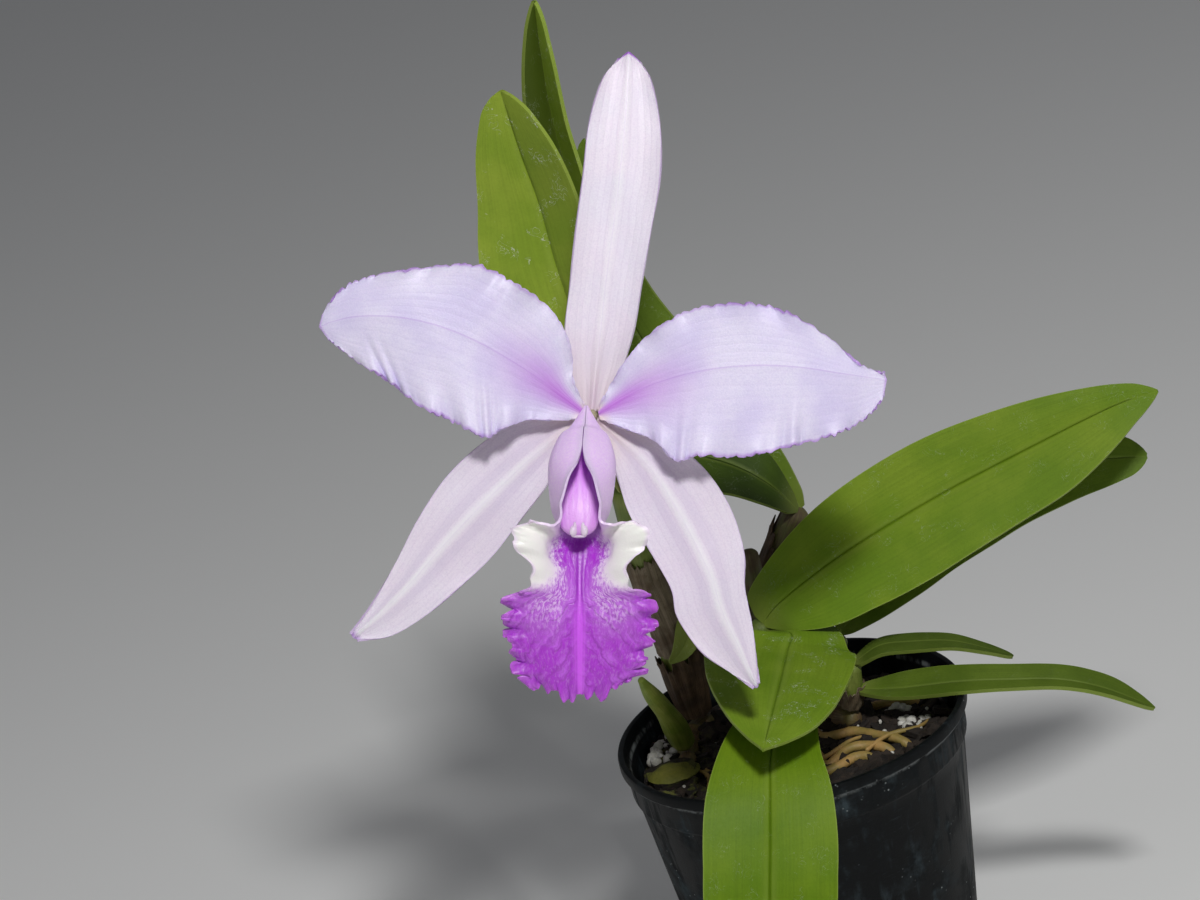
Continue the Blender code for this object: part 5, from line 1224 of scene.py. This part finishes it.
def make_pot_shell(name):
    """The pot: a disc drawn up through its outside, over the lip and down inside."""
    lip_bottom = POT_HEIGHT - POT_LIP_HEIGHT
    inner_top = POT_RIM_RADIUS - 2.4
    inside_foot = POT_BODY_BOTTOM_RADIUS - POT_WALL - 0.4
    outline = [
        (POT_BODY_BOTTOM_RADIUS - 0.8, 0.0), (POT_BODY_BOTTOM_RADIUS - 0.25, 0.2),
        (POT_BODY_BOTTOM_RADIUS, 0.8), (POT_BODY_BOTTOM_RADIUS + 0.35, 3.6),
        (POT_BODY_BOTTOM_RADIUS + 0.3, 4.2),
        (POT_BODY_TOP_RADIUS - 0.45, POT_COLLAR_BOTTOM - 3.4), (POT_BODY_TOP_RADIUS, POT_COLLAR_BOTTOM - 0.7),
        (POT_BODY_TOP_RADIUS + 0.2, POT_COLLAR_BOTTOM - 0.35), (POT_COLLAR_RADIUS - 0.1, POT_COLLAR_BOTTOM),
        (POT_COLLAR_RADIUS, POT_COLLAR_BOTTOM + 0.4), (POT_GROOVE_RADIUS, lip_bottom - 0.5),
        (POT_GROOVE_RADIUS + 0.1, lip_bottom - 0.15), (POT_RIM_RADIUS - 0.25, lip_bottom),
        (POT_RIM_RADIUS, lip_bottom + 0.35), (POT_RIM_RADIUS, POT_HEIGHT - 0.7),
        (POT_RIM_RADIUS - 0.2, POT_HEIGHT - 0.2), (POT_RIM_RADIUS - 0.55, POT_HEIGHT),
        (POT_RIM_RADIUS - 1.05, POT_HEIGHT), (POT_RIM_RADIUS - 1.4, POT_HEIGHT - 0.2),
        (POT_RIM_RADIUS - 1.6, POT_HEIGHT - 0.8), (inner_top, lip_bottom),
        (POT_BODY_TOP_RADIUS - POT_WALL, POT_COLLAR_BOTTOM), (inside_foot, POT_FLOOR),
    ]
    clear()
    first_radius, level = outline[0]
    bpy.ops.mesh.primitive_circle_add(
        vertices=POT_SIDES, radius=first_radius * MM, fill_type="NGON", location=(0.0, 0.0, 0.0))
    pot = bpy.context.object
    pot.name = name
    edit_all()
    radius = first_radius
    for next_radius, next_level in outline[1:]:
        rise = (0.0, 0.0, (next_level - level) * MM)
        bpy.ops.mesh.extrude_region_move(TRANSFORM_OT_translate={"value": rise})
        grow = next_radius / radius
        bpy.ops.transform.resize(value=(grow, grow, 1.0), center_override=(0.0, 0.0, next_level * MM))
        radius, level = next_radius, next_level
    bpy.ops.mesh.select_all(action="SELECT")
    bpy.ops.mesh.normals_make_consistent(inside=False)
    bpy.ops.object.mode_set(mode="OBJECT")
    for number in range(DRAIN_HOLES):
        angle = 2.0 * math.pi * number / DRAIN_HOLES
        spot = (DRAIN_CIRCLE_RADIUS * math.cos(angle), DRAIN_CIRCLE_RADIUS * math.sin(angle), 0.0)
        bpy.ops.mesh.primitive_cylinder_add(
            vertices=DRAIN_SIDES, radius=DRAIN_HOLE_RADIUS * MM, depth=4.0 * POT_FLOOR * MM,
            location=metres(spot))
        drill = bpy.context.object
        step = pot.modifiers.new("drain", "BOOLEAN")
        step.operation = "DIFFERENCE"
        step.object = drill
        apply_all(pot)
        bpy.data.objects.remove(drill, do_unlink=True)
    smooth(pot, 35.0)
    return pot


def chip_model():
    """One flake of bark, to be copied."""
    clear()
    bpy.ops.mesh.primitive_cube_add(size=1.0)
    chip = bpy.context.object
    edit_all()
    bpy.ops.mesh.subdivide(number_cuts=2, smoothness=0.3)
    bpy.ops.object.mode_set(mode="OBJECT")
    return chip


def pebble_model():
    """One rounded grain, to be copied."""
    clear()
    bpy.ops.mesh.primitive_ico_sphere_add(subdivisions=2, radius=0.5)
    return bpy.context.object


def scatter(name, model, chance, spots, roughness):
    """Copies of a model at (place, size, turn) spots, each bent its own way, as one piece."""
    copies = []
    for spot, size, turn in spots:
        copy = model.copy()
        copy.data = model.data.copy()
        bpy.context.collection.objects.link(copy)
        skew = [chance.uniform(0.0, 2.0 * math.pi) for _ in range(3)]
        scale = Vector(size)
        for vertex in copy.data.vertices:
            push = 1.0 + roughness * (
                math.sin(5.0 * vertex.co.x + skew[0]) + math.sin(6.0 * vertex.co.y + skew[1])
                + math.sin(4.0 * vertex.co.z + skew[2]))
            vertex.co = Vector([vertex.co[axis] * push * scale[axis] * MM for axis in range(3)])
        tone = copy.data.attributes.new("tone", "FLOAT", "POINT")
        shade = chance.random()
        for entry in tone.data:
            entry.value = shade
        copy.rotation_euler = turn
        copy.location = metres(spot)
        copies.append(copy)
    bpy.data.objects.remove(model, do_unlink=True)
    return joined(name, copies)


def ellipsoids(name, parts):
    """Rounded bodies at (centre, half sizes) in the flower's frame, as one piece."""
    made = []
    for centre, size in parts:
        clear()
        bpy.ops.mesh.primitive_uv_sphere_add(segments=48, ring_count=24, radius=1.0)
        part = bpy.context.object
        round_spots = np.array([vertex.co[:] for vertex in part.data.vertices])
        set_points(part, flower_frame(np.array(centre) + round_spots * np.array(size)))
        made.append(part)
    piece = joined(name, made)
    close_seams(piece)
    smooth(piece, SOFT_ANGLE)
    return piece


def ribs(count, depth):
    """Lengthwise furrows round a stem."""
    def relief(along, angle):
        broad = np.sin(count * angle + 2.0 * np.sin(5.0 * along))
        return depth * broad + 0.5 * depth * np.sin((2 * count + 1) * angle + 6.0 * along)
    return relief


def knobs(seed, depth=0.08):
    """Uneven swellings along a root."""
    def relief(along, angle):
        swelling = jitter(along, (7, 12, 19), seed)
        return depth * (swelling + 0.5 * np.sin(2.0 * angle + 9.0 * along + seed))
    return relief


# Settings a user would change

class OrchidSizes(bpy.types.PropertyGroup):
    """Sizes of the details that the looks add."""

    petal_thickness: bpy.props.FloatProperty(
        name="Petal thickness", description="Thickness of petals and sepals", default=0.55 * MM,
        unit="LENGTH")
    lip_thickness: bpy.props.FloatProperty(
        name="Lip thickness", description="Thickness of the lip", default=0.5 * MM, unit="LENGTH")
    leaf_thickness: bpy.props.FloatProperty(
        name="Leaf thickness", description="Thickness of the strap leaves", default=0.95 * MM, unit="LENGTH")
    tooth_depth: bpy.props.FloatProperty(
        name="Tooth depth", description="Depth of the fine teeth along the petals' edges", default=0.5 * MM,
        unit="LENGTH")
    chip_count: bpy.props.IntProperty(
        name="Bark chips", description="Loose bark chips on the mix", default=560, min=0)
    grain_count: bpy.props.IntProperty(
        name="White grains", description="White grains scattered over the mix", default=70, min=0)


def colour_setting(name, description, colour):
    """A colour that a user may change."""
    return bpy.props.FloatVectorProperty(
        name=name, description=description, subtype="COLOR", size=3, min=0.0, max=1.0, default=colour)


class OrchidColours(bpy.types.PropertyGroup):
    """Main colours of the plant and its pot."""

    petal: colour_setting("Petal", "Face of the two petals", ink(232, 224, 248))
    sepal: colour_setting("Sepal", "Face of the three sepals", ink(238, 226, 240))
    flush: colour_setting("Flush", "Flush along each petal's rib", ink(196, 124, 222))
    rim: colour_setting("Rim", "Rim and tip of the petals", ink(164, 98, 206))
    lip: colour_setting("Lip", "Front lobe of the lip", ink(172, 44, 206))
    throat: colour_setting("Throat", "Band down the lip's throat", ink(146, 26, 178))
    side_lobe: colour_setting("Side lobe", "Side lobes of the lip", ink(240, 202, 255))
    leaf: colour_setting("Leaf", "Upper face of the strap leaves", ink(98, 128, 18))
    leaf_light: colour_setting("Leaf, light", "Lighter areas of the strap leaves", ink(118, 142, 32))
    stem: colour_setting("Stem", "Living parts of the stems", ink(104, 124, 46))
    dry: colour_setting("Dry skin", "Dried sheaths on the stems", ink(142, 128, 104))
    root: colour_setting("Root", "Roots on the mix", ink(176, 140, 82))
    bark: colour_setting("Bark", "Bark chips of the mix", ink(26, 21, 17))
    pot: colour_setting("Pot", "Plastic of the pot", ink(11, 13, 14))
    floor: colour_setting("Floor", "The plain floor", ink(242, 242, 240))


def sizes():
    """The sizes now set."""
    return bpy.context.scene.orchid_sizes


def colours():
    """The colours now set, by name."""
    group = bpy.context.scene.orchid_colours
    return {name: tuple(getattr(group, name)) for name in OrchidColours.__annotations__}


# Operators, one for each piece or group of like pieces

class MakePot(bpy.types.Operator):
    """Make the round nursery pot"""

    bl_idname = "orchid.make_pot"
    bl_label = "Pot"

    def execute(self, context):
        pot = make_pot_shell("pot_shell")
        settle(pot, pot_paint("pot_plastic", colours()["pot"]), "black_plastic", "pot")
        return {"FINISHED"}


class MakeMix(bpy.types.Operator):
    """Strew bark chips and white grains over the potting mix"""

    bl_idname = "orchid.make_mix"
    bl_label = "Potting mix"

    def execute(self, context):
        colour = colours()
        bark = bark_paint("bark_bed", colour["bark"], BARK_LIGHT)
        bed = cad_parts["potting_mix"]
        for slot in bed.material_slots:
            slot.material = bark
        chance = random.Random(MIX_SEED)
        spots = []
        for number in range(sizes().chip_count):
            angle = GOLDEN_ANGLE * number
            radius = CHIP_CIRCLE * math.sqrt((number + 0.5) / sizes().chip_count)
            x, y = radius * math.cos(angle), radius * math.sin(angle)
            size = chance.uniform(1.3, 4.4)
            shape = (size, size * chance.uniform(0.45, 0.85), size * chance.uniform(0.22, 0.45))
            turn = (chance.uniform(-0.6, 0.6), chance.uniform(-0.6, 0.6), chance.uniform(0.0, math.pi))
            level = mix_height(x, y) + chance.uniform(0.0, 0.22) * size
            spots.append(((x, y, level), shape, turn))
        chips = scatter("bark_chips", chip_model(), chance, spots, 0.1)
        smooth(chips, 30.0)
        settle(chips, bark_paint("bark_loose", colour["bark"], BARK_LIGHT, True), "bark")
        grains = []
        for x, y in GRAIN_CLUSTERS:
            for _ in range(GRAINS_IN_A_CLUSTER):
                east, north = x + chance.gauss(0.0, 1.5), y + chance.gauss(0.0, 1.7)
                grains.append((east, north, chance.uniform(0.9, 2.7)))
        for _ in range(sizes().grain_count):
            angle = chance.uniform(0.0, 2.0 * math.pi)
            radius = GRAIN_CIRCLE * math.sqrt(chance.uniform(0.05, 1.0))
            grains.append((radius * math.cos(angle), radius * math.sin(angle), chance.uniform(0.4, 1.5)))
        spots = []
        for x, y, size in grains:
            if math.hypot(x, y) < GRAIN_LIMIT:
                shape = [size * chance.uniform(0.8, 1.25) for _ in range(3)]
                turn = [chance.uniform(0.0, math.pi) for _ in range(3)]
                spots.append(((x, y, mix_height(x, y) + 0.55 * size), shape, turn))
        pebbles = scatter("white_grains", pebble_model(), chance, spots, 0.06)
        smooth(pebbles, 50.0)
        white = plain_grain_paint("grain_white", ink(214, 212, 204), ink(186, 184, 172))
        settle(pebbles, white, "bark")
        return {"FINISHED"}


class MakeMoss(bpy.types.Operator):
    """Lay the green disc of moss-grown bark at the front left"""

    bl_idname = "orchid.make_moss"
    bl_label = "Green disc"

    def execute(self, context):
        centre = np.array([*GREEN_CHIP_CENTRE, GREEN_CHIP_LEVEL])
        stretch = np.array([*GREEN_CHIP_SIZE, 1.0])

        def place(along, across):
            return centre + disc_place(along, across) * stretch

        disc = grid("moss_disc", DISC_GRID)
        lay(disc, place)
        thicken(disc, 0.9)
        smooth(disc, 50.0)
        surface = plain_grain_paint("moss", ink(126, 124, 44), ink(96, 98, 26), 0.4, 0.7, 0.5)
        settle(disc, surface, "bark")
        return {"FINISHED"}


class MakeRoots(bpy.types.Operator):
    """Make the creeping stem and its roots"""

    bl_idname = "orchid.make_roots"
    bl_label = "Creeping stem and roots"

    def execute(self, context):
        colour = colours()
        runs = []
        for number, run in enumerate(RHIZOME_RUNS):
            points = [(x, y, RHIZOME_HEIGHT) for x, y in run]
            radii = [RHIZOME_RADIUS] * len(run)
            radii[0] *= 0.8
            radii[-1] *= 0.75
            runs.append(limb("run", points, radii, RUN_GRID, knobs(1.7 + number, 0.1)))
        stem = joined("creeping_stem", runs)
        brown = stem_paint("creeping_skin", ink(98, 92, 46), ink(120, 96, 60), ink(92, 74, 52), 0.45)
        settle(stem, brown, "root", "rhizome")
        strands = []
        for number, points in enumerate(ROOTS):
            radii = [ROOT_RADIUS] * (len(points) - 1) + [0.7 * ROOT_RADIUS]
            strands.append(limb("root", points, radii, ROOT_GRID, knobs(0.6 + number)))
        for number, points in enumerate(THIN_ROOTS):
            strands.append(limb("root", points, THIN_ROOT_RADII, THIN_ROOT_GRID, knobs(4.0 + number)))
        roots = joined("roots", strands)
        surface = plain_grain_paint("root_skin", colour["root"], ink(140, 122, 62), 0.25, 0.55, 0.5)
        settle(roots, surface, "root", "rhizome")
        return {"FINISHED"}


class MakeStems(bpy.types.Operator):
    """Make the upright stems and the new shoot"""

    bl_idname = "orchid.make_stems"
    bl_label = "Stems"

    def execute(self, context):
        colour = colours()
        skins = dict(
            green=stem_paint("stem_skin", colour["stem"], ink(126, 138, 62), ink(120, 100, 66), 0.3),
            dull=stem_paint("old_stem_skin", ink(86, 88, 40), ink(104, 92, 56), ink(84, 70, 50), 0.5),
            shoot=stem_paint("shoot_skin", ink(122, 142, 48), ink(150, 158, 72), ink(120, 112, 60), 0.1))
        for name, points, radii, skin, slot, node in STEMS:
            piece = limb(name, points, radii, STEM_GRID, ribs(7, 0.025))
            settle(piece, skins[skin], slot, node)
        return {"FINISHED"}


class MakeHusks(bpy.types.Operator):
    """Wrap the dry papery sheaths round the stems"""

    bl_idname = "orchid.make_husks"
    bl_label = "Dry sheaths"

    def execute(self, context):
        skins = dict(
            papery=paper_paint("papery_skin", colours()["dry"], ink(110, 92, 70)),
            brown=paper_paint("brown_skin", ink(104, 82, 58), ink(70, 54, 38)))
        for name, points, radii, span, seed, tear, flare, skin in HUSKS:
            piece = husk(name, points, radii, span, seed, tear, flare)
            settle(piece, skins[skin], "papery_sheath")
        return {"FINISHED"}


class MakeLeaves(bpy.types.Operator):
    """Make the strap leaves, the young leaves and the two bracts"""

    bl_idname = "orchid.make_leaves"
    bl_label = "Leaves"

    def execute(self, context):
        colour = colours()
        thickness = sizes().leaf_thickness / MM
        for node, shape in LEAVES.items():
            face, second, marks, painted_shade_half = LEAF_LOOKS[node]
            face = colour["leaf"] if face is None else face
            second = colour["leaf_light"] if second is None else second
            small = node in BRACTS
            name = node + "_skin" if small else node.replace("leaf_", "strap_")
            piece = blade(name, leaf_place(**shape), LEAF_GRID, BRACT_THICKNESS if small else thickness)
            surface = leaf_paint(name + "_green", face, second, marks, painted_shade_half)
            settle(piece, surface, "stem_green" if small else "leaf_green", node)
        return {"FINISHED"}


class MakeStalk(bpy.types.Operator):
    """Make the flower's stalk and the seat that carries the flower"""

    bl_idname = "orchid.make_stalk"
    bl_label = "Flower stalk"

    def execute(self, context):
        points = FLOWER_STALK + [tuple(spot) for spot in flower_frame(FLOWER_SEAT)]
        piece = limb("stalk", points, FLOWER_STALK_RADII + FLOWER_SEAT_RADII, STALK_GRID, ribs(6, 0.03))
        surface = stem_paint("stalk_skin", ink(186, 184, 134), ink(206, 196, 166), ink(170, 150, 130), 0.05)
        settle(piece, surface, "stem_green", "flower_stalk")
        return {"FINISHED"}


class MakeSepals(bpy.types.Operator):
    """Make the upright sepal and the two lower sepals"""

    bl_idname = "orchid.make_sepals"
    bl_label = "Sepals"

    def execute(self, context):
        colour = colours()
        thickness = sizes().petal_thickness / MM
        for name, shape, node, look in (
            ("upper_sepal", DORSAL_SEPAL, "dorsal_sepal", UPPER_SEPAL_LOOK),
            ("lower_left_sepal", LEFT_SEPAL, "left_sepal", LOWER_SEPAL_LOOK),
            ("lower_right_sepal", RIGHT_SEPAL, "right_sepal", LOWER_SEPAL_LOOK),
        ):
            piece = blade(name, tepal_place(**shape), SEPAL_GRID, thickness)
            surface = tepal_paint(name + "_skin", colour["sepal"], colour["flush"], colour["rim"], look)
            settle(piece, surface, "lilac", node)
        return {"FINISHED"}


class MakePetals(bpy.types.Operator):
    """Make the two broad petals with their toothed, ruffled edges"""

    bl_idname = "orchid.make_petals"
    bl_label = "Petals"

    def execute(self, context):
        colour = colours()
        size = sizes()
        for name, shape, node, creases in (
            ("petal_left", LEFT_PETAL, "left_petal", LEFT_CREASES),
            ("petal_right", RIGHT_PETAL, "right_petal", RIGHT_CREASES),
        ):
            place = tepal_place(teeth=size.tooth_depth / MM, creases=creases, **shape)
            piece = blade(name, place, PETAL_GRID, size.petal_thickness / MM)
            surface = tepal_paint(
                name + "_skin", colour["petal"], colour["flush"], colour["rim"], PETAL_LOOK)
            settle(piece, surface, "lilac", node)
        return {"FINISHED"}


class MakeLip(bpy.types.Operator):
    """Make the lip with its rolled side lobes and frilled front lobe"""

    bl_idname = "orchid.make_lip"
    bl_label = "Lip"

    def execute(self, context):
        colour = colours()
        piece = blade("frilled_lip", lip_place, LIP_GRID, sizes().lip_thickness / MM)
        tints = dict(LIP_TINTS, magenta=colour["lip"], violet=colour["throat"], side=colour["side_lobe"])
        settle(piece, lip_paint("lip_skin", tints), "magenta", "lip")
        return {"FINISHED"}


class MakeColumn(bpy.types.Operator):
    """Make the column and the two white teeth at its tip"""

    bl_idname = "orchid.make_column"
    bl_label = "Column and cap"

    def execute(self, context):
        right = flower_axes()[0]
        path = even(flower_frame(COLUMN_LINE))

        def place(along, across):
            angle = math.pi * across
            centre = through(path, along)
            ahead = direction(path, along)
            side = unit(right[None, :] - ahead * (ahead @ right)[:, None])
            over = np.cross(ahead, side)
            close = rounded(np.minimum(along, 1.0 - along) / COLUMN_END_ROUND)
            wide = through(COLUMN_WIDTHS, along)[:, 0] * close * np.cos(angle)
            deep = through(COLUMN_DEPTHS, along)[:, 0] * close * np.sin(angle)
            deep = deep * (1.0 - 0.12 * hump(np.sin(angle), 1.0, 0.2))
            return centre + side * wide[:, None] + over * deep[:, None]

        column = grid("column_body", COLUMN_GRID)
        lay(column, place)
        close_seams(column)
        smooth(column, SOFT_ANGLE)
        settle(column, column_paint("column_skin", LIP_TINTS), "violet", "column")
        cap = ellipsoids("white_teeth", CAP_PARTS)
        white = plain_grain_paint("cap_skin", ink(240, 232, 240), ink(226, 206, 228), 0.05, 0.35)
        settle(cap, white, "white_cap", "anther_cap")
        return {"FINISHED"}


class MakeStage(bpy.types.Operator):
    """Lay the floor and set the lights and the camera"""

    bl_idname = "orchid.make_stage"
    bl_label = "Stage"

    def execute(self, context):
        clear()
        bpy.ops.mesh.primitive_plane_add(size=FLOOR_WIDTH)
        floor = context.object
        floor.name = "floor"
        floor.data.materials.append(floor_paint("floor_pale", colours()["floor"]))
        for name, spot, size, power in LIGHTS:
            clear()
            bpy.ops.object.light_add(type="AREA", location=metres(spot))
            lamp = context.object
            lamp.name = name
            lamp.data.size = size * MM
            lamp.data.energy = power
            aim = Vector(metres(LIGHT_AIM)) - lamp.location
            lamp.rotation_euler = aim.to_track_quat("-Z", "Y").to_euler()
        world = bpy.data.worlds.new("studio")
        context.scene.world = world
        world.use_nodes = True
        sky = world.node_tree.nodes["Background"]
        sky.inputs["Color"].default_value = (*SKY_COLOUR, 1.0)
        sky.inputs["Strength"].default_value = SKY_STRENGTH
        clear()
        bpy.ops.object.camera_add(location=metres(CAMERA_SPOT))
        camera = context.object
        right, upward, _ = flower_axes()
        away = -np.cross(upward, right)
        camera.rotation_euler = Matrix([right, upward, away]).transposed().to_euler()
        camera.data.lens = CAMERA_LENS
        camera.data.sensor_width = CAMERA_SENSOR
        camera.data.clip_start = 0.01
        context.scene.camera = camera
        context.scene.view_settings.view_transform = "Standard"
        return {"FINISHED"}


OPERATORS = (
    MakeStage, MakePot, MakeMix, MakeMoss, MakeRoots, MakeStems, MakeHusks, MakeLeaves, MakeStalk, MakeSepals,
    MakePetals, MakeLip, MakeColumn,
)


class OrchidPanel(bpy.types.Panel):
    """Sizes, colours and the steps that make the orchid's looks"""

    bl_idname = "VIEW3D_PT_orchid"
    bl_label = "Potted Orchid"
    bl_space_type = "VIEW_3D"
    bl_region_type = "UI"
    bl_category = "Orchid"

    def draw(self, context):
        layout = self.layout
        for group in (context.scene.orchid_sizes, context.scene.orchid_colours):
            box = layout.box()
            for name in type(group).__annotations__:
                box.prop(group, name)
        for operator in OPERATORS:
            layout.operator(operator.bl_idname)


CLASSES = (OrchidSizes, OrchidColours, *OPERATORS, OrchidPanel)


def register():
    """Make the settings, the operators and the panel known."""
    for each in CLASSES:
        bpy.utils.register_class(each)
    bpy.types.Scene.orchid_sizes = bpy.props.PointerProperty(type=OrchidSizes)
    bpy.types.Scene.orchid_colours = bpy.props.PointerProperty(type=OrchidColours)


def unregister():
    """Take them away again."""
    del bpy.types.Scene.orchid_colours
    del bpy.types.Scene.orchid_sizes
    for each in reversed(CLASSES):
        bpy.utils.unregister_class(each)


def main():
    """Make every piece in order."""
    register()
    for operator in OPERATORS:
        group, name = operator.bl_idname.split(".")
        getattr(getattr(bpy.ops, group), name)()


if __name__ == "__main__":
    main()
